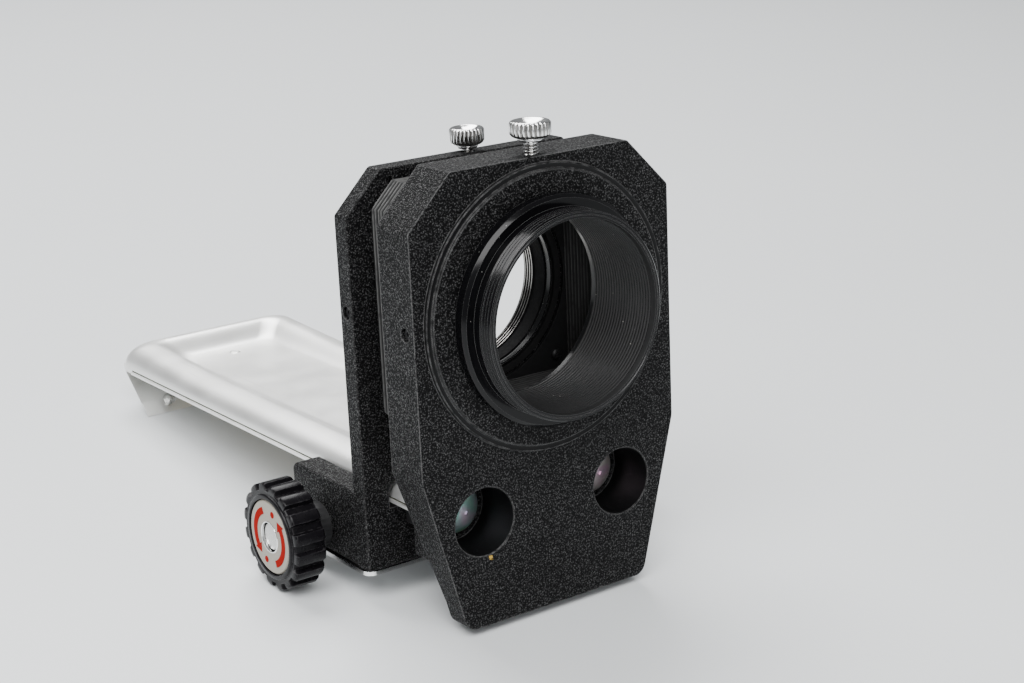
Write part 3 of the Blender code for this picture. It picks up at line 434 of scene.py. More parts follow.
def knob_plastic():
    """Moulded black phenolic with flow marks and a little dust in its grooves."""
    plastic = Shader("knob_plastic")
    flow = plastic.noise(0.0035, 4.0, 0.65)
    grain = plastic.noise(0.00035, 3.0)
    scuff = plastic.rubbed_edges(0.00030, 0.0012, 0.38, 0.66)
    colour = plastic.mix(flow, (0.0026, 0.0023, 0.0030), (0.0070, 0.0064, 0.0076))
    colour = plastic.over(colour, scuff, 0.45, (0.11, 0.105, 0.11))
    return plastic.set(
        Base_Color=colour,
        Roughness=plastic.spread(flow, 0.3, 0.7, 0.20, 0.32),
        Specular_IOR_Level=0.13,
        Normal=plastic.bump(plastic.maths("ADD", grain, flow), 0.00002, 0.5),
    )


def label_grey():
    """Sprayed light-grey metal disc with fine speckle."""
    label = Shader("label_grey")
    speckle = label.noise(0.00022, 2.0, 0.7)
    stain = label.noise(0.004, 3.0)
    colour = label.mix(label.spread(speckle, 0.3, 0.7), (0.22, 0.200, 0.165), (0.36, 0.33, 0.280))
    colour = label.over(colour, stain, 0.25, (0.27, 0.245, 0.20))
    return label.set(
        Base_Color=colour,
        Metallic=0.1,
        Roughness=label.spread(speckle, 0.3, 0.7, 0.38, 0.50),
        Normal=label.bump(speckle, 0.00001, 0.6),
    )


def red_print():
    """Screen-printed red, a little thin in places."""
    ink = Shader("red_print")
    thin = ink.noise(0.0006, 3.0, 0.6)
    faded = ink.spread(thin, 0.45, 0.75, 0.0, 0.35)
    return ink.set(
        Base_Color=ink.mix(faded, (0.26, 0.0030, 0.0010), (0.30, 0.018, 0.008)),
        Roughness=ink.spread(thin, 0.3, 0.7, 0.55, 0.70),
        Specular_IOR_Level=0.04,
    )


def nylon():
    """Off-white nylon with drag marks along the rail."""
    plastic = Shader("nylon")
    drag = plastic.noise(0.0008, 3.0, 0.6, plastic.stretched((1.0, 0.08, 1.0)))
    return plastic.set(
        Base_Color=plastic.mix(drag, (0.60, 0.58, 0.50), (0.74, 0.73, 0.67)),
        Roughness=plastic.spread(drag, 0.3, 0.7, 0.38, 0.52),
        Subsurface_Weight=0.1,
        Normal=plastic.bump(drag, 0.00003, 0.4),
    )


def blackened_tin():
    """Thin blackened metal, rubbed on its edges."""
    metal = Shader("blackened_tin")
    grain = metal.noise(0.0006, 3.0, 0.6)
    colour = metal.mix(grain, (0.006, 0.006, 0.0065), (0.017, 0.017, 0.018))
    return metal.set(
        Base_Color=metal.over(colour, metal.edge_wear(0.00020), 0.25, 0.10),
        Metallic=0.3,
        Roughness=metal.spread(grain, 0.3, 0.7, 0.40, 0.54),
        Normal=metal.bump(grain, 0.00003, 0.5),
    )


MATERIALS = {
    "crackle_black": crackle_black(),
    "smooth_black": smooth_black(),
    "gloss_black": gloss_black(),
    "bore_black": bore_black(),
    "baffle_black": baffle_black(),
    "satin_aluminium": satin_aluminium(),
    "groove_painted_shade": groove_painted_shade(),
    "chrome": turned_metal("chrome", 0.78, (0.90, 0.90, 0.89), 0.10, 0.20),
    "steel": turned_metal("steel", (0.50, 0.50, 0.49), (0.66, 0.66, 0.64), 0.24, 0.38),
    # dark metal: real wear on the camera ring's thread; painted shade in the thumbscrews' knurl valleys and
    # thread roots
    "worn_thread_and_crevice_shade": turned_metal("worn_thread_and_crevice_shade", (0.16, 0.155, 0.15), (0.42, 0.41, 0.39), 0.20, 0.34),
    "brass": turned_metal("brass", (0.66, 0.48, 0.20), (0.80, 0.63, 0.32), 0.26, 0.42),
    "zinc_plate": zinc_plate(),
    "bellows_cloth": bellows_cloth(),
    "knob_plastic": knob_plastic(),
    "label_grey": label_grey(),
    "red_print": red_print(),
    "nylon": nylon(),
    "blackened_tin": blackened_tin(),
}


# ---------------------------------------------------------------- mesh tools


def new_object(name, mesh, location=(0, 0, 0), facing="Z"):
    obj = bpy.data.objects.new(name, mesh)
    obj.location = location
    obj.rotation_euler = TURNS[facing]
    bpy.context.scene.collection.objects.link(obj)
    return obj


def placed(name, shape, location=(0, 0, 0), facing="Z"):
    """Object from a finished bmesh."""
    mesh = bpy.data.meshes.new(name)
    shape.to_mesh(mesh)
    shape.free()
    return new_object(name, mesh, location, facing)


def formed(name, profile, location, facing, steps, change=None):
    """Profile of (radius, height), outer side from top to bottom, turned about local Z.

    change(angle, index) gives how far in the point of that number in the profile moves.
    """
    mesh = bmesh.new()
    rings = []
    for index, (radius, height) in enumerate(profile):
        ring = []
        for step in range(steps):
            angle = 2 * math.pi * step / steps
            reach = radius - (change(angle, index) if change else 0)
            ring.append(mesh.verts.new((reach * math.cos(angle), reach * math.sin(angle), height)))
        rings.append(ring)
    closed = profile[-1][0] > 0
    for upper, lower in zip(rings, rings[1:] + rings[:1] if closed else rings[1:]):
        for step in range(steps):
            after = (step + 1) % steps
            mesh.faces.new((upper[step], lower[step], lower[after], upper[after]))
    bmesh.ops.remove_doubles(mesh, verts=mesh.verts, dist=0.000002)
    bmesh.ops.recalc_face_normals(mesh, faces=mesh.faces)
    return placed(name, mesh, location, facing)


def outline(name, loops, thickness, location, facing):
    """Flat outline with holes, thick along local Z and centred on it, as a mesh."""
    curve = bpy.data.curves.new(name, "CURVE")
    curve.dimensions = "2D"
    curve.fill_mode = "BOTH"
    curve.extrude = thickness * DRAWN / 2
    for loop in loops:
        spline = curve.splines.new("POLY")
        spline.points.add(len(loop) - 1)
        for point, (x, y) in zip(spline.points, loop):
            point.co = (x * DRAWN, y * DRAWN, 0, 1)
        spline.use_cyclic_u = True
    source = new_object(name, curve, location, facing)
    bpy.context.view_layer.update()
    evaluated = source.evaluated_get(bpy.context.evaluated_depsgraph_get())
    mesh = bpy.data.meshes.new_from_object(evaluated)
    bpy.data.objects.remove(source)
    weld = bmesh.new()
    weld.from_mesh(mesh)
    bmesh.ops.remove_doubles(weld, verts=weld.verts, dist=0.0001)
    bmesh.ops.dissolve_limit(weld, angle_limit=0.0005, verts=weld.verts, edges=weld.edges)
    bmesh.ops.recalc_face_normals(weld, faces=weld.faces)
    bmesh.ops.scale(weld, vec=(1 / DRAWN,) * 3, verts=weld.verts)
    weld.to_mesh(mesh)
    weld.free()
    return new_object(name, mesh, location, facing)


def block(name, low, high):
    """Box between two corners."""
    cube = bmesh.new()
    bmesh.ops.create_cube(cube, size=1)
    bmesh.ops.scale(cube, vec=Vector(high) - Vector(low), verts=cube.verts)
    return placed(name, cube, (Vector(low) + Vector(high)) / 2)


def hole(radius, start, length, facing, steps, chamfer=0.0):
    """Cutter for a hole from start onwards, with an optional chamfer where it starts."""
    mouth = [(radius, chamfer), (radius + 2 * chamfer, -chamfer), (0, -chamfer)]
    return formed("hole", [(0, length), (radius, length), *mouth], start, facing, steps)


def bevel(obj, width, segments=4, angle=35):
    rounding = obj.modifiers.new("edges", "BEVEL")
    rounding.width = width
    rounding.segments = segments
    rounding.limit_method = "ANGLE"
    rounding.angle_limit = math.radians(angle)


def shape_with(obj, operation, *shapes):
    for shape in shapes:
        step = obj.modifiers.new(shape.name, "BOOLEAN")
        step.operation = operation
        step.solver = "MANIFOLD"
        step.object = shape
        tools.append(shape)


def cut(obj, *shapes):
    shape_with(obj, "DIFFERENCE", *shapes)


def join(obj, *shapes):
    shape_with(obj, "UNION", *shapes)


def settle(obj, *names, sharp=32, pick=None):
    """Make a piece's mesh final: place in world, modifiers applied, shading and materials.

    pick(centre, normal) gives the number of the material, among the names, for a face.
    """
    bpy.context.view_layer.update()
    evaluated = obj.evaluated_get(bpy.context.evaluated_depsgraph_get())
    mesh = bpy.data.meshes.new_from_object(evaluated)
    mesh.transform(obj.matrix_world)
    piece_name = obj.name
    bpy.data.objects.remove(obj)
    while tools:
        bpy.data.objects.remove(tools.pop())
    mesh.materials.clear()
    for name in names:
        mesh.materials.append(MATERIALS[name])
    for face in mesh.polygons:
        face.material_index = pick(face.center, face.normal) if pick else 0
    mesh.shade_smooth()
    mesh.set_sharp_from_angle(angle=math.radians(sharp))
    piece = bpy.data.objects.new(piece_name, mesh)
    bpy.context.scene.collection.objects.link(piece)
    flats = piece.modifiers.new("flat faces", "WEIGHTED_NORMAL")
    flats.keep_sharp = True
    return piece


def stand_for(piece, body, slot, *nodes):
    """Ride on the body and replace the CAD nodes; the slot is not used."""
    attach(piece, body)
    if nodes:
        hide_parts(*nodes)
    return piece


def rounded(corners, steps=8):
    """Closed outline from corners of (x, y, radius)."""
    points = []
    count = len(corners)
    for index, (x, y, radius) in enumerate(corners):
        here = Vector((x, y))
        if radius == 0:
            points.append((x, y))
            continue
        before = (Vector(corners[index - 1][:2]) - here).normalized()
        after = (Vector(corners[(index + 1) % count][:2]) - here).normalized()
        half = before.angle(after) / 2
        centre = here + (before + after).normalized() * radius / math.sin(half)
        start = here + before * radius / math.tan(half) - centre
        end = here + after * radius / math.tan(half) - centre
        sweep = start.angle_signed(end)
        for step in range(steps + 1):
            turn = -sweep * step / steps
            x_turned = start.x * math.cos(turn) - start.y * math.sin(turn)
            y_turned = start.x * math.sin(turn) + start.y * math.cos(turn)
            points.append((centre.x + x_turned, centre.y + y_turned))
    return points


def mirrored(right_side):
    """Whole outline from its right-hand corners, listed upwards."""
    return list(right_side) + [(-x, *rest) for x, *rest in reversed(right_side)]


def circle(radius, steps, centre=(0, 0)):
    angles = [2 * math.pi * step / steps for step in range(steps)]
    return [(centre[0] + radius * math.cos(a), centre[1] + radius * math.sin(a)) for a in angles]


def polar(radius, angle):
    return radius * math.cos(angle), radius * math.sin(angle)


def middle_of(node):
    """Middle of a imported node's box."""
    return tuple((low + high) / 2 for low, high in zip(*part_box(node)))


def axis_distance(point):
    """How far a point is from the optical axis."""
    return math.hypot(point.x, point.z - AXIS_Z)


def four_corners(reach):
    """Places of the bellows frames' screws, in X and Z."""
    return [(x * reach, AXIS_Z + z * reach) for x, z in ((-1, -1), (1, -1), (1, 1), (-1, 1))]


# ---------------------------------------------------------------- front standard


def front_standard():
    """Thick casting with a boss for the lens ring and two deep screw sockets."""
    corners = mirrored(
        [
            (0.0273, FRONT_LOW.z, 0.0035), (FRONT_HALF, 0.0405, 0.006),
            (FRONT_HALF, FRONT_TOP - 0.0125, 0.0012), (FRONT_HALF - 0.0122, FRONT_TOP, 0.0012),
        ]
    )
    middle = (0, FACE_Y + FRONT_THICK / 2, 0)
    plate = outline("front_casting", [rounded(corners)], FRONT_THICK, middle, "-Y")
    bevel(plate, PAINT_EDGE)
    back = FACE_Y + FRONT_THICK
    foot_back = FACE_Y + 0.0067
    past = back + 0.001
    lean = [(past, 0.0390), (back, 0.0390), (foot_back, 0.006), (foot_back, -0.002), (past, -0.002)]
    cut(plate, outline("lean", [lean], 0.09, (0, 0, 0), "side"))
    pad = block("pad", (-0.0312, FACE_Y + 0.004, 0.0165), (0.0312, FRONT_HIGH.y, 0.0385))
    bevel(pad, 0.0004, 3)
    join(plate, pad)
    boss = [
        (0, BOSS_RISE), (BAND_INNER, BOSS_RISE), (BAND_INNER + 0.00018, BOSS_RISE - 0.00012),
        (BAND_INNER + 0.00024, BOSS_RISE - 0.00055), (BAND_INNER + 0.00045, BOSS_RISE - 0.00070),
        (BOSS_RADIUS - 0.00050, BOSS_RISE - 0.00070), (BOSS_RADIUS - 0.00030, BOSS_RISE - 0.00058),
        (BOSS_RADIUS - 0.00012, BOSS_RISE - 0.00062), (BOSS_RADIUS, BOSS_RISE - 0.00080),
        (BOSS_RADIUS, -0.002), (0, -0.002),
    ]
    join(plate, formed("boss", boss, (0, FACE_Y, AXIS_Z), "-Y", FINE))
    cut(plate, hole(BORE_RADIUS, (0, FACE_Y - 0.01, AXIS_Z), 0.04, "Y", FINE))
    for side in (-1, 1):
        mouth = (side * SOCKET_X, FACE_Y, SOCKET_Z)
        cut(plate, hole(SOCKET_RADIUS, mouth, SOCKET_DEPTH, "Y", 64, 0.0002))
        cut(plate, hole(0.0023, mouth, 0.03, "Y", 24))
    cut(plate, hole(0.0021, (0, LINE_Y, FRONT_TOP), 0.02, "-Z", 32, 0.0002))
    cut(plate, hole(GRUB_HOLE, (-FRONT_HALF, LINE_Y, AXIS_Z), 0.015, "X", 32, 0.0001))
    for x, z in four_corners(FRAME_SCREW_AT):
        cut(plate, hole(FRAME_SCREW_HOLE, (x, past, z), 0.006, "-Y", 16))

    def pick(centre, normal):
        away = axis_distance(centre)
        on_boss = centre.y < FACE_Y - 0.00002
        if on_boss and BAND_INNER - 0.00005 < away < BOSS_RADIUS + 0.0001:
            return 1
        in_socket = any(
            math.hypot(centre.x - side * SOCKET_X, centre.z - SOCKET_Z) < SOCKET_RADIUS + 0.0003
            for side in (-1, 1)
        )
        if in_socket and abs(normal.y) < 0.9 and centre.y > FACE_Y + 0.0003:
            return 1
        return 2 if away < BORE_RADIUS + 0.00005 and abs(normal.y) < 0.1 else 0

    casting = settle(plate, "crackle_black", "smooth_black", "bore_black", pick=pick)
    return stand_for(casting, "rail", "crackle_black", "front_standard")


def ridges(inner, outer, start, pitch, count):
    """Fine grooves as profile points, from a height downwards."""
    points = []
    for turn in range(count):
        height = start - pitch * turn
        points.append((outer, height))
        points.append((outer, height - 0.35 * pitch))
        points.append((inner, height - 0.55 * pitch))
        points.append((inner, height - 0.85 * pitch))
    return points


def lens_ring():
    """Threaded tube with a flange; its bore is grooved against stray light."""
    rim = FACE_Y - RING_LOW.y
    tail = FACE_Y - RING_HIGH.y
    flange, front, slope = RING_HIGH.x, 0.0059, 0.0008
    bore = 0.0236
    thread = []
    for turn in range(3):
        crest = rim - 0.00062 - 0.00105 * turn
        thread += [(0.02480, crest + 0.00017), (0.02480, crest + 0.00007), (0.02530, crest - 0.00045)]
        thread.append((0.02530, crest - 0.00072))
    grooves = ridges(bore, bore - 0.00025, rim - 0.0011, 0.0010, round((rim - tail) / 0.0010) - 2)
    profile = [
        (bore - 0.00010, rim - 0.00025), (bore, rim), (bore + 0.00050, rim),
        (bore + 0.00060, rim - 0.00012), (bore + 0.00072, rim - 0.00012), (bore + 0.00082, rim),
        (0.02490, rim), (0.02515, rim - 0.00025),
        *thread,
        (0.02510, rim - 0.0038), (0.02535, rim - 0.0041), (0.02535, front),
        (flange - slope - 0.00004, front), (flange - slope + 0.00004, front - 0.00006),
        (flange - 0.00006, front - slope + 0.00004), (flange, front - slope - 0.00006),
        (flange, 0.00250), (flange - 0.0006, 0.00235), (flange - 0.0006, BOSS_RISE + GAP),
        (BORE_RADIUS - GAP, BOSS_RISE + GAP), (BORE_RADIUS - GAP, tail), (bore, tail),
        *reversed(grooves),
    ]
    ring = formed("lens_thread_ring", profile, (0, FACE_Y, AXIS_Z), "-Y", FINE)

    def pick(centre, normal):
        return 1 if axis_distance(centre) < bore - 0.00002 else 0

    piece = settle(ring, "gloss_black", "bore_black", sharp=28, pick=pick)
    return stand_for(piece, "rail", "gloss_black", "lens_ring")


def domed(radius, base, rise, step, count):
    """Points of a domed head from its top to its rim, by angle."""
    angles = [step * number for number in range(count)] + [math.pi / 2]
    return [(radius * math.sin(a), base + rise * math.cos(a)) for a in angles]


def cross_slot(screw, place, reach, half_width, depth, first_turn):
    """Cut a cross for a driver into a screw's head."""
    for turn in (first_turn, first_turn + math.pi / 2):
        slot = block("slot", (-reach, -half_width, -depth), (reach, half_width, depth))
        slot.location = place
        slot.rotation_euler = Euler((math.pi / 2, turn, 0), "XYZ")
        cut(screw, slot)


def socket_screws():
    """Cross-headed screws at the bottom of the two sockets."""
    for name, side in (("left", -1), ("right", 1)):
        seat = (side * SOCKET_X, FACE_Y + SOCKET_DEPTH, SOCKET_Z)
        dome = domed(0.0065, GAP + 0.0004, 0.0016, 0.2, 8)
        profile = [*dome, (0.0065, GAP), (0.0020, GAP), (0.0020, -0.0100), (0, -0.0105)]
        screw = formed("socket_screw_" + name, profile, seat, "-Y", 48)
        cross_slot(screw, (seat[0], seat[1] - 0.0027, seat[2]), 0.0028, 0.00045, 0.001, 0.6)
        piece = settle(screw, "zinc_plate")
        stand_for(piece, "rail", "zinc_plate", "standard_screw_" + name)


# ---------------------------------------------------------------- thumbscrews


def thumbscrew(place, line_y, body_head, body_shank):
    """Knurled head, dished on top, and its shank with a collar and a real helix."""
    head_low, head_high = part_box(place + "_thumb_head")
    shank_low, shank_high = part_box(place + "_thumb_shank")
    reach = head_high.x
    tall = head_high.z - head_low.z
    teeth = 26
    deep = 0.00042
    head = [
        (0, tall - 0.00125, 0), (reach * 0.10, tall - 0.00120, 0),
        (reach * 0.14, tall - 0.00130, 0), (reach * 0.40, tall - 0.00095, 0),
        (reach * 0.70, tall - 0.00030, 0), (reach * 0.755, tall - 0.00008, 0),
        (reach * 0.79, tall, 0), (reach * 0.87, tall, 0), (reach * 0.92, tall - 0.00010, 0.25),
        (reach * 0.975, tall - 0.00035, 0.7), (reach, tall - 0.00065, 1), (reach, tall * 0.50, 1),
        (reach, tall * 0.30, 1), (reach * 0.975, tall * 0.20, 0.9),
        (reach * 0.90, tall * 0.10, 0.6), (reach * 0.80, 0.00010, 0.15), (reach * 0.74, 0, 0),
        (reach * 0.30, 0, 0), (0, 0, 0),
    ]

    def knurl(angle, index):
        wave = 0.5 + 0.5 * math.cos(teeth * angle)
        return deep * head[index][2] * wave ** 1.6

    profile = [(radius, height) for radius, height, _ in head]
    piece = formed(place + "_knurled_head", profile, (0, line_y, head_low.z), "Z", teeth * 12, knurl)

    # Faces deep in the knurl's valleys take the darker metal: painted shade in the valleys.
    def painted_valley_shade(centre, normal):
        away = math.hypot(centre.x, centre.y - line_y)
        height = (centre.z - head_low.z) / tall
        return int(0.12 < height < 0.92 and reach * 0.85 < away < reach - 0.00016)

    piece = settle(piece, "chrome", "worn_thread_and_crevice_shade", sharp=50, pick=painted_valley_shade)
    stand_for(piece, body_head, "chrome", place + "_thumb_head")

    radius = 0.0018 if place == "front" else 0.0015
    pitch = 0.00080
    collar = shank_high.x
    thread_top = head_low.z - 0.0014
    rows = [
        (0, head_low.z - 0.00002), (collar - 0.0002, head_low.z - 0.00002),
        (collar, head_low.z - 0.0002), (collar, head_low.z - 0.0005),
        (collar * 0.86, head_low.z - 0.0009), (radius * 1.05, head_low.z - 0.0010),
        (radius * 0.86, head_low.z - 0.0012),
    ]
    first_thread = len(rows)
    fine_steps = round((thread_top - shank_low.z) / pitch * 10)
    for step in range(fine_steps + 1):
        rows.append((radius, thread_top + (shank_low.z - thread_top) * step / fine_steps))
    rows.append((0, shank_low.z))

    def helix(angle, index):
        if not first_thread <= index < len(rows) - 1:
            return 0
        turn = (rows[index][1] / pitch - angle / (2 * math.pi)) % 1
        return 0.00042 * min(1, abs(turn - 0.5) * 2.4)

    piece = formed(place + "_threaded_shank", rows, (0, line_y, 0), "Z", 36, helix)

    # Faces at the thread's root take the darker metal: painted shade in the root.
    def painted_root_shade(centre, normal):
        away = math.hypot(centre.x, centre.y - line_y)
        return int(centre.z < thread_top and away < radius - 0.00018)

    piece = settle(piece, "chrome", "worn_thread_and_crevice_shade", sharp=60, pick=painted_root_shade)
    stand_for(piece, body_shank, "chrome", place + "_thumb_shank")


# ---------------------------------------------------------------- bellows


def bellows():
    """Folded cloth: a square with cut corners that steps in and out along Y."""
    outer, inner = BELLOWS_HIGH.x - 0.0002, 0.0256
    folds = 9
    length = BELLOWS_HIGH.y - BELLOWS_LOW.y
    pitch = length / folds
    # one fold: share of the pitch, and how far out
    section = [(0.0, 0.0), (0.05, 0.05), (0.40, 0.93), (0.45, 0.985), (0.5, 1.0)]
    section += [(0.55, 0.985), (0.60, 0.93), (0.95, 0.05)]
    rows = [(BELLOWS_LOW.y + pitch * (fold + share), out) for fold in range(folds) for share, out in section]
    rows.append((BELLOWS_HIGH.y, 0.0))
    side_steps = 14

    mesh = bmesh.new()
    crease = mesh.verts.layers.float.new("crease")
    rings = []
    for number, (y, out) in enumerate(rows):
        fold = number // len(section)
        at_end = number in (0, len(rows) - 1)
        half = inner + (outer - inner) * out
        chamfer = 0.0032 + 0.0028 * out
        corners = mirrored(
            [(half - chamfer, -half), (half, -half + chamfer), (half, half - chamfer), (half - chamfer, half)]
        )
        ring = []
        for start, end in zip(corners, corners[1:] + corners[:1]):
            long_side = math.dist(start, end) > 0.02
            steps = side_steps if long_side else 3
            for step in range(steps):
                share = step / steps
                x = start[0] + (end[0] - start[0]) * share
                z = start[1] + (end[1] - start[1]) * share
                wobble = noise.noise(Vector((x * 90, z * 90, fold * 1.7)))
                pull = 1 + (0.004 * wobble if long_side else 0)
                shift = 0 if at_end else 0.00006 * noise.noise(Vector((x * 60, fold * 3.1, z * 60)))
                vert = mesh.verts.new((x * pull, y + shift, AXIS_Z + z * pull))
                vert[crease] = 1.0 if out == 1 else 0.5 if out > 0.95 or out == 0 else 0.0
                ring.append(vert)
        rings.append(ring)
    for near, far in zip(rings, rings[1:]):
        for index in range(len(near)):
            after = (index + 1) % len(near)
            mesh.faces.new((near[index], near[after], far[after], far[index]))
    bmesh.ops.recalc_face_normals(mesh, faces=mesh.faces)
    cloth = placed("folded_bellows", mesh)
    thick = cloth.modifiers.new("cloth", "SOLIDIFY")
    thick.thickness = 0.00020
    thick.offset = 0
    piece = settle(cloth, "bellows_cloth", sharp=45)
    piece.modifiers.remove(piece.modifiers["flat faces"])
    start = (0, BELLOWS_LOW.y, AXIS_Z)
    end = (0, BELLOWS_HIGH.y, AXIS_Z)
    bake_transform(piece)
    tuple(start)
    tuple(end)
    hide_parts("bellows")


def bellows_frame(place, body):
    """Thin plate with a round opening that holds one end of the bellows."""
    node = f"bellows_{place}_frame"
    low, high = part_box(node)
    half, cut_corner = high.x, 0.0060
    corners = mirrored(
        [
            (half - cut_corner, AXIS_Z - half, 0.0008), (half, AXIS_Z - half + cut_corner, 0.0008),
            (half, AXIS_Z + half - cut_corner, 0.0008), (half - cut_corner, AXIS_Z + half, 0.0008),
        ]
    )
    loops = [rounded(corners, 4), circle(0.0252, FINE, (0, AXIS_Z))]
    loops += [circle(FRAME_SCREW_HOLE, 24, spot) for spot in four_corners(FRAME_SCREW_AT)]
    middle = (0, (low.y + high.y) / 2, 0)
    plate = outline(f"{place}_bellows_plate", loops, high.y - low.y, middle, "-Y")
    bevel(plate, 0.00010, 2, 50)
    stand_for(settle(plate, "blackened_tin"), body, "blackened_tin", node)


def frame_screws(place, facing, body):
    """Cross-headed screws in the corners of a bellows frame."""
    for number in range(1, 5):
        node = f"{place}_frame_screw_{number}"
        low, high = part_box(node)
        x, z = (low.x + high.x) / 2, (low.z + high.z) / 2
        top = low.y if facing == "-Y" else high.y
        away = 1 if facing == "-Y" else -1
        dome = domed(0.0016, 0.0002, 0.0008, 0.3, 5)
        profile = [*dome, (0.0016, 0.0001), (0.0008, 0.0001), (0.0008, -0.0038), (0, -0.0038)]
        seat = (x, top + away * 0.0010, z)
        screw = formed(f"{place}_cross_screw_{number}", profile, seat, facing, 32)
        cross_slot(screw, (x, top, z), 0.0009, 0.00016, 0.0005, 0.35 * number)
        piece = settle(screw, "blackened_tin")
        stand_for(piece, body, "blackened_tin", node)


# ---------------------------------------------------------------- rear standard


def rear_standard():
    """Upright plate and saddle in one casting, with the rail's channel."""
    top = REAR_HIGH.z
    bottom = REAR_LOW.z
    corners = mirrored(
        [
            (REAR_HALF, bottom, 0.0004), (REAR_HALF, top - 0.01035, 0.0012),
            (REAR_HALF - 0.01025, top, 0.0012),
        ]
    )
    middle = (0, REAR_Y + REAR_THICK / 2, 0)
    plate = outline("rear_casting", [rounded(corners, 4)], REAR_THICK, middle, "-Y")
    bevel(plate, PAINT_EDGE)
    far = REAR_HIGH.y
    side = [
        (REAR_Y + 0.0015, bottom, 0), (far, bottom, 0.0010), (far, SADDLE_TOP, 0.0020),
        (REAR_Y + 0.0015, SADDLE_TOP, 0),
    ]
    saddle = outline("saddle", [rounded(side)], 2 * REAR_HALF - 0.0001, (0, 0, 0), "side")
    bevel(saddle, 0.0010, 4, 60)
    join(plate, saddle)
    ring = [
        (0, 0.0009), (0.0240, 0.0009), (0.0244, 0.0008), (0.0246, 0.0005), (0.0246, -0.001), (0, -0.001),
    ]
    join(plate, formed("inner_ring", ring, (0, REAR_Y, AXIS_Z), "-Y", FINE))
    cut(plate, hole(REAR_BORE, (0, REAR_Y - 0.01, AXIS_Z), 0.03, "Y", FINE))
    channel = mirrored(
        [
            (CHANNEL_HALF, WEB_TOP), (CHANNEL_HALF, LEDGE_Z), (LIP_HALF + 0.00045, LEDGE_Z),
            (LIP_HALF + 0.00045, 0.0292), (0.0293, 0.0310), (0.0265, 0.0327),
            (0.0220, CREST_Z + 0.0005),
        ]
    )
    middle = (0, (REAR_Y + far) / 2, 0)
    cut(plate, outline("channel", [channel], far - REAR_Y + 0.01, middle, "-Y"))
    well_low = (-CHANNEL_HALF, REAR_Y + WEB_THICK, bottom - 0.002)
    cut(plate, block("well", well_low, (CHANNEL_HALF, far + 0.005, WEB_TOP + 0.001)))
    cut(plate, hole(0.0048, (-REAR_HALF - 0.002, SHAFT_Y, SHAFT_Z), 2 * REAR_HALF + 0.004, "X", 48))
    cut(plate, hole(0.0018, (0, REAR_LINE_Y, top), 0.015, "-Z", 32, 0.0002))
    cut(plate, hole(GRUB_HOLE, (-REAR_HALF, REAR_LINE_Y, AXIS_Z), 0.019, "X", 32, 0.0001))
    for x, z in four_corners(FRAME_SCREW_AT):
        cut(plate, hole(FRAME_SCREW_HOLE, (x, REAR_Y - 0.001, z), 0.005, "Y", 16))
    for x in (-0.0247, 0.0247):
        cut(plate, hole(0.0010, (x, REAR_Y, 0.1070), 0.002, "Y", 24, 0.0001))
    for number in range(1, 5):
        place = (*middle_of(f"plate_screw_{number}")[:2], bottom - 0.001)
        cut(plate, hole(0.0016, place, 0.010, "Z", 16))

    def pick(centre, normal):
        away = axis_distance(centre)
        on_ring = centre.y < REAR_Y - 0.00002 and away < 0.0250
        in_bore = away < REAR_BORE + 0.0001 and abs(normal.y) < 0.3
        in_channel = abs(centre.x) < LIP_HALF + 0.0005 and bottom + 0.0001 < centre.z < CREST_Z + 0.0006
        inside = in_channel and abs(normal.y) < 0.5 and REAR_Y + 0.001 < centre.y < far
        return 2 if on_ring or in_bore else int(inside)

    casting = settle(plate, "crackle_black", "smooth_black", "bore_black", pick=pick)
    return stand_for(casting, "carriage", "crackle_black", "rear_standard")


def camera_ring():
    """Threaded ring for the camera, behind the rear standard."""
    flange = CAMERA_HIGH.x
    end = CAMERA_HIGH.y - REAR_Y
    thread = ridges(0.0210, 0.0206, end - 0.0010, 0.0010, 4)
    profile = [
        (0.0210, end - 0.0002), (0.0213, end), (0.0243, end), (0.0245, end - 0.0002),
        (0.0245, 0.0083), (0.0247, 0.0081), (flange - 0.0006, 0.0080), (flange, 0.0074),
        (flange, REAR_THICK + GAP), (REAR_BORE - GAP, REAR_THICK + GAP), (REAR_BORE - GAP, -0.0004),
        (REAR_BORE - 0.0005, -0.0006), (0.0218, -0.0006), (0.0216, -0.0003), (0.0216, 0.0012),
        (0.0212, 0.0016), (0.0211, 0.0020), (0.0210, 0.0034),
        *reversed(thread),
    ]
    ring = formed("camera_thread_ring", profile, (0, REAR_Y, AXIS_Z), "Y", FINE)

    def pick(centre, normal):
        away = axis_distance(centre)
        if away > 0.02115 or abs(normal.y) > 0.9:
            return 0
        return 1 if centre.y > CAMERA_HIGH.y - 0.0046 and away < 0.02075 else 2

    piece = settle(ring, "gloss_black", "worn_thread_and_crevice_shade", "baffle_black", sharp=28, pick=pick)
    return stand_for(piece, "carriage", "gloss_black", "camera_ring")


def bottom_plate():
    """Thin bright plate under the saddle with a hole for the tripod bush."""
    left, right, near, far = PLATE_LOW.x, PLATE_HIGH.x, PLATE_LOW.y, PLATE_HIGH.y
    corners = [(x, y, 0.0025) for x, y in ((left, near), (right, near), (right, far), (left, far))]
    loops = [rounded(corners), circle(0.0058, 48, middle_of("tripod_bush"))]
    loops += [circle(0.0015, 20, middle_of(f"plate_screw_{number}")) for number in range(1, 5)]
    thick = PLATE_HIGH.z - PLATE_LOW.z
    middle = (0, 0, (PLATE_HIGH.z + PLATE_LOW.z) / 2)
    plate = outline("saddle_plate", loops, thick, middle, "Z")
    bevel(plate, 0.00028, 3, 50)
    return stand_for(settle(plate, "chrome"), "carriage", "chrome", "bottom_plate")


# ---------------------------------------------------------------- rail


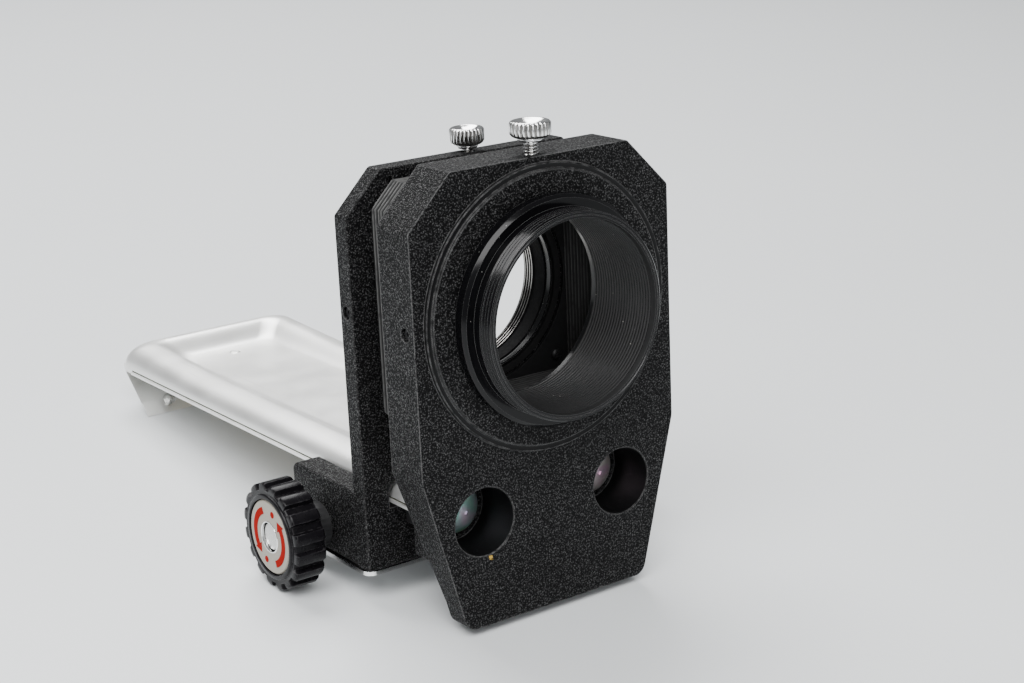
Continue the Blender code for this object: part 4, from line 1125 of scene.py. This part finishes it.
def tray_edge(inset, steps=14):
    """Plan outline of the tray, a U open at the lens end, moved inwards by inset."""
    share = inset / (2 * HUMP_HALF)
    corner = RAIL_CORNER + (TROUGH_CORNER - RAIL_CORNER) * share
    half = RAIL_HALF - inset
    end = RAIL_HIGH.y - inset
    points = [(-half, RAIL_LOW.y), (-half, LIFT_FROM_Y)]
    for side, start in ((-1, math.pi), (1, math.pi / 2)):
        for step in range(steps + 1):
            angle = start - math.pi / 2 * step / steps
            x = side * (half - corner) + corner * math.cos(angle)
            points.append((x, end - corner + corner * math.sin(angle)))
    return points + [(half, LIFT_FROM_Y), (half, RAIL_LOW.y)]


def tray_section(steps=14):
    """Inset, height and share of the hump across the tray's edge, from skirt to sunken top."""
    section = [(0, SKIRT_Z, 0)]
    for step in range(steps + 1):
        angle = math.pi / 2 * step / steps
        height = SIDE_Z + (CREST_Z - SIDE_Z) * math.sin(angle)
        section.append((HUMP_HALF * (1 - math.cos(angle)), height, math.sin(angle)))
    for step in range(1, steps + 1):
        hump = (1 + math.cos(math.pi * step / steps)) / 2
        height = FLOOR_Z + (CREST_Z - FLOOR_Z) * hump
        section.append((HUMP_HALF * (1 + step / steps), height, hump))
    return section


def crest_lift(y):
    """How much higher the hump stands towards the far end."""
    return CREST_LIFT * min(1, max(0, (y - LIFT_FROM_Y) / (LIFT_TO_Y - LIFT_FROM_Y)))


def rail():
    """Pressed tray with lips along its sides and a leg turned down at the far end."""
    shape = bmesh.new()
    rows = []
    for inset, height, hump in tray_section():
        edge = tray_edge(inset)
        rows.append([shape.verts.new((x, y, height + hump * crest_lift(y))) for x, y in edge])
    for outer, inner in zip(rows, rows[1:]):
        for index in range(len(outer) - 1):
            shape.faces.new((outer[index], outer[index + 1], inner[index + 1], inner[index]))
    shape.faces.new(rows[-1])
    bmesh.ops.recalc_face_normals(shape, faces=shape.faces)
    if sum(face.normal.z * face.calc_area() for face in shape.faces) < 0:
        bmesh.ops.reverse_faces(shape, faces=shape.faces)
    tray = placed("pressed_rail", shape)
    skin = tray.modifiers.new("skin", "SOLIDIFY")
    skin.thickness = RAIL_SKIN
    skin.offset = -1
    skin.use_even_offset = True
    for side in (-1, 1):
        edges = sorted((side * (RAIL_HALF - 0.0010), side * LIP_HALF))
        lip = block("lip", (edges[0], RAIL_LOW.y + 0.0001, 0.0263), (edges[1], LIP_END_Y, LIP_TOP))
        bevel(lip, 0.00022, 3)
        join(tray, lip)
        sides = sorted((side * (RAIL_HALF - 0.00045), side * (RAIL_HALF + 0.001)))
        low = (sides[0], RAIL_LOW.y - 0.001, LIP_TOP + 0.00002)
        cut(tray, block("groove", low, (sides[1], LIP_END_Y, LIP_TOP + 0.0004)))
    lean = math.atan2(LEG_TOP_Z - LEG_LOW_Z, LEG_LOW_Y - LEG_TOP_Y)
    inward = Vector((-math.sin(lean), math.cos(lean))) * LEG_THICK
    inward = inward if inward.x < 0 else -inward
    top_in = Vector((LEG_TOP_Y, LEG_TOP_Z)) + inward
    low_in = Vector((LEG_LOW_Y, LEG_LOW_Z)) + inward
    side_view = [
        (RAIL_HIGH.y - 0.0001, SIDE_Z + 0.0002, 0), (LEG_TOP_Y, LEG_TOP_Z, 0.002),
        (LEG_LOW_Y, LEG_LOW_Z, 0.0004), (*low_in, 0.0004), (*top_in, 0),
        (RAIL_HIGH.y - RAIL_SKIN + 0.0001, SIDE_Z + 0.0002, 0),
    ]
    leg = outline("leg", [rounded(side_view)], 2 * LEG_HALF, (0, 0, 0), "side")
    bevel(leg, 0.0003, 3, 60)
    join(tray, leg)
    for x, y in [(0, RIVET_YS[0]), (0, RIVET_YS[1]), (-BLOCK_SCREW[0], BLOCK_SCREW[1]), BLOCK_SCREW]:
        cut(tray, hole(0.00165, (x, y, FLOOR_Z), 0.005, "-Z", 24, 0.00008))

    def pick(centre, normal):
        # the faces of the narrow groove under the lip take the painted shade
        in_groove = LIP_TOP - 0.00005 < centre.z < LIP_TOP + 0.00045
        return 1 if in_groove and RAIL_HALF - 0.0006 < abs(centre.x) < RAIL_HALF - 0.0001 else 0

    piece = settle(tray, "satin_aluminium", "groove_painted_shade", sharp=40, pick=pick)
    return stand_for(piece, "rail", "satin_aluminium", "rail")


# ---------------------------------------------------------------- drive


def drive_shaft():
    """Ground shaft with a domed, turned end in the clamp knob."""
    half = (SHAFT_HIGH.x - SHAFT_LOW.x) / 2
    middle = ((SHAFT_HIGH.x + SHAFT_LOW.x) / 2, SHAFT_Y, SHAFT_Z)
    profile = [
        (0, half - 0.00045), (SHAFT_RADIUS * 0.22, half - 0.00030),
        (SHAFT_RADIUS * 0.30, half - 0.00002), (SHAFT_RADIUS * 0.40, half),
        (SHAFT_RADIUS * 0.55, half - 0.00006), (SHAFT_RADIUS * 0.80, half - 0.00025),
        (SHAFT_RADIUS * 0.95, half - 0.00060), (SHAFT_RADIUS, half - 0.00100),
        (SHAFT_RADIUS, -half + 0.0004), (SHAFT_RADIUS - 0.0004, -half), (0, -half),
    ]
    shaft = formed("ground_shaft", profile, middle, "-X", 48)
    return stand_for(settle(shaft, "chrome"), "drive", "steel", "drive_shaft")


def knob(side, body):
    """Fluted knob with a raised rim round its sunken face; the drive knob has a hub."""
    place = "clamp" if side < 0 else "drive"
    inner_x = min(abs(KNOB_LOW.x), abs(KNOB_HIGH.x))
    outer_x = max(abs(KNOB_LOW.x), abs(KNOB_HIGH.x))
    reach = KNOB_RADIUS
    thick = outer_x - inner_x
    recess = 0.0012
    grip = [
        (SHAFT_RADIUS + GAP, thick - recess, 0), (DISC_RADIUS + 0.00025, thick - recess, 0),
        (DISC_RADIUS + 0.00030, thick - 0.00018, 0), (DISC_RADIUS + 0.00048, thick, 0),
        (0.01085, thick, 0), (0.01105, thick - 0.00012, 0), (0.01120, thick - 0.00050, 0),
        (0.01150, thick - 0.00058, 0), (reach - 0.00170, thick - 0.00040, 0.10),
        (reach - 0.00080, thick - 0.00044, 0.80), (reach - 0.00030, thick - 0.00062, 1),
        (reach, thick - 0.00110, 1), (reach, thick * 0.5, 1), (reach, 0.00120, 1),
        (reach - 0.0003, 0.00060, 1), (reach - 0.0010, 0.00020, 0.6), (reach - 0.0020, 0, 0),
    ]
    if side > 0:
        hub = inner_x - REAR_HALF - GAP
        grip += [(0.0064, 0, 0), (0.0060, -0.0004, 0), (0.0060, -hub, 0), (SHAFT_RADIUS + GAP, -hub, 0)]
    else:
        grip += [(SHAFT_RADIUS + GAP, 0, 0)]
    ridges_round = 16
    ridge_share = 0.56

    def flute(angle, index):
        """Flat-topped ridges with steep sides and flat grooves."""
        share = (ridges_round * angle / (2 * math.pi)) % 1
        edge = abs(share - 0.5) - ridge_share / 2
        rise = min(1, max(0, edge / 0.055 + 0.5))
        smooth = rise * rise * (3 - 2 * rise)
        crown = 0.00022 * (abs(share - 0.5) / (ridge_share / 2)) ** 2 if edge < 0 else 0
        return grip[index][2] * (0.00155 * smooth + crown)

    profile = [(radius, height) for radius, height, _ in grip]
    outward = "X" if side > 0 else "-X"
    start = (side * inner_x, SHAFT_Y, SHAFT_Z)
    piece = formed(place + "_fluted_knob", profile, start, outward, ridges_round * 24, flute)
    piece = settle(piece, "knob_plastic", sharp=38)
    stand_for(piece, body, "knob_plastic", place + "_knob")


def turn_arrows(face, facing, body):
    """Two curved arrows printed on a disc, with a pip ahead of each."""
    inner, outer = 0.0061, 0.0079
    middle = (inner + outer) / 2
    steps = 24
    for number, first in enumerate((0.35, 0.35 + math.pi), 1):
        last = first + 1.75
        angles = [first + (last - first) * step / steps for step in range(steps + 1)]
        arrow = [polar(outer, angle) for angle in angles]
        arrow += [polar(outer + 0.0009, last), polar(middle, last + 0.34), polar(inner - 0.0009, last)]
        arrow += [polar(inner, angle) for angle in reversed(angles)]
        pip = circle(0.00085, 24, polar(middle, last + 0.70))
        for kind, loop in (("arrow", arrow), ("pip", pip)):
            mark = outline(f"turn_{kind}_{number}", [loop], 0.00010, face, facing)
            stand_for(settle(mark, "red_print"), body, "label_grey")


def knob_disc(side, body):
    """Thin disc; the clamp's has a hole and printed arrows that show how it turns."""
    place = "clamp" if side < 0 else "drive"
    low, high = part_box(place + "_disc")
    inner = min(abs(low.x), abs(high.x))
    thick = max(abs(low.x), abs(high.x)) - inner
    facing = "X" if side > 0 else "-X"
    start = (side * inner, SHAFT_Y, SHAFT_Z)
    rim = [(DISC_RADIUS - 0.0003, thick - 0.00012), (DISC_RADIUS, thick - 0.0004), (DISC_RADIUS, 0)]
    if side < 0:
        eyelet = [(0.0038, thick - 0.00010), (0.0039, thick), (0.0041, thick), (0.0042, thick - 0.00012)]
        profile = [*eyelet, *rim, (0.0038, 0)]
    else:
        profile = [(0, thick - 0.00012), *rim, (0, 0)]
    disc = formed(place + "_face_disc", profile, start, facing, 96)

    def pick(centre, normal):
        away = math.hypot(centre.y - SHAFT_Y, centre.z - SHAFT_Z)
        return 1 if side < 0 and away < 0.0042 else 0

    piece = settle(disc, "label_grey", "chrome", pick=pick)
    stand_for(piece, body, "label_grey", place + "_disc")
    if side > 0:
        return
    cap = [
        (0, 0.00052), (0.0006, 0.00051), (0.0012, 0.00048), (0.0020, 0.00040), (0.0028, 0.00028),
        (0.0033, 0.00014), (0.0035, 0), (0.0035, -0.00020), (0, -0.00020),
    ]
    cap_piece = formed("hub_cap", cap, start, facing, 64)
    stand_for(settle(cap_piece, "steel", sharp=60), body, "steel")
    face = (side * (inner + thick - 0.00010), SHAFT_Y, SHAFT_Z)
    turn_arrows(face, facing, body)


# ---------------------------------------------------------------- carried-over nodes


def finish_cad_nodes():
    """Give each CAD node that still shows the material of its slot."""
    slots = {part["node"]: part["material_slot"] for part in frame["record"]["subparts"]}
    for name, node in frame["nodes"].items():
        for index in range(len(node.material_slots)):
            node.material_slots[index].material = MATERIALS[slots[name]]


# ---------------------------------------------------------------- stage


def floor():
    """Pale floor through the three places where the unit rests: both knobs and the leg's edge."""
    knob_y = (KNOB_LOW.y + KNOB_HIGH.y) / 2
    slope = (LEG_LOW_Z - KNOB_LOW.z) / (LEG_LOW_Y - knob_y)
    ground = bmesh.new()
    bmesh.ops.create_grid(ground, x_segments=2, y_segments=2, size=2.5)
    surface = placed("floor", ground, (0, knob_y, KNOB_LOW.z - 0.0002))
    surface.rotation_euler = (math.atan(slope), 0, 0)
    pale = Shader("floor_pale")
    surface.data.materials.append(
        pale.set(
            Base_Color=pale.mix(pale.noise(0.3, 2.0), (0.66, 0.68, 0.69), (0.70, 0.72, 0.73)),
            Roughness=0.42,
        )
    )


def area_light(name, direction, distance, size, power):
    """Soft box aimed at the middle of the object from a direction."""
    light = bpy.data.lights.new(name, "AREA")
    light.shape = "RECTANGLE"
    light.size, light.size_y = size
    light.energy = power
    lamp = bpy.data.objects.new(name, light)
    middle = Vector((0, -0.03, 0.05))
    way = Vector(direction).normalized()
    lamp.location = middle + way * distance
    lamp.rotation_euler = way.to_track_quat("Z", "Y").to_euler()
    bpy.context.scene.collection.objects.link(lamp)


def studio():
    """Pale surroundings and four soft boxes."""
    world = bpy.data.worlds.new("studio")
    world.use_nodes = True
    backdrop = world.node_tree.nodes["Background"]
    backdrop.inputs["Color"].default_value = (0.93, 0.95, 0.97, 1)
    backdrop.inputs["Strength"].default_value = 0.28
    bpy.context.scene.world = world
    area_light("key", (-0.45, -0.50, 0.79), 1.1, (1.05, 0.60), 21)
    area_light("top", (0.10, 0.55, 1.0), 1.2, (1.0, 0.8), 26)
    area_light("side", (-1.0, 0.45, 0.40), 1.2, (0.5, 0.6), 0.8)
    area_light("fill", (-0.42, -1.0, 0.30), 1.3, (0.70, 0.70), 5)


def camera():
    """View from the left of the lens end and from above."""
    lens = bpy.data.cameras.new("camera")
    lens.lens = CAMERA_LENS
    lens.sensor_width = SENSOR_WIDTH
    lens.clip_start = 0.01
    view = bpy.data.objects.new("camera", lens)
    view.location = CAMERA_PLACE
    view.rotation_euler = CAMERA_TURN
    bpy.context.scene.collection.objects.link(view)
    bpy.context.scene.camera = view


def main():
    camera()
    floor()
    studio()
    finish_cad_nodes()
    front_standard()
    lens_ring()
    socket_screws()
    rail()
    rear_standard()
    camera_ring()
    bottom_plate()
    bellows()
    bellows_frame("front", "rail")
    bellows_frame("rear", "carriage")
    frame_screws("front", "Y", "rail")
    frame_screws("rear", "-Y", "carriage")
    thumbscrew("front", LINE_Y, "front_thumb_head", "front_thumb_shank")
    thumbscrew("rear", REAR_LINE_Y, "rear_thumb_head", "rear_thumb_shank")
    drive_shaft()
    knob(-1, "clamp_knob")
    knob(1, "drive")
    knob_disc(-1, "clamp_knob")
    knob_disc(1, "drive")


main()
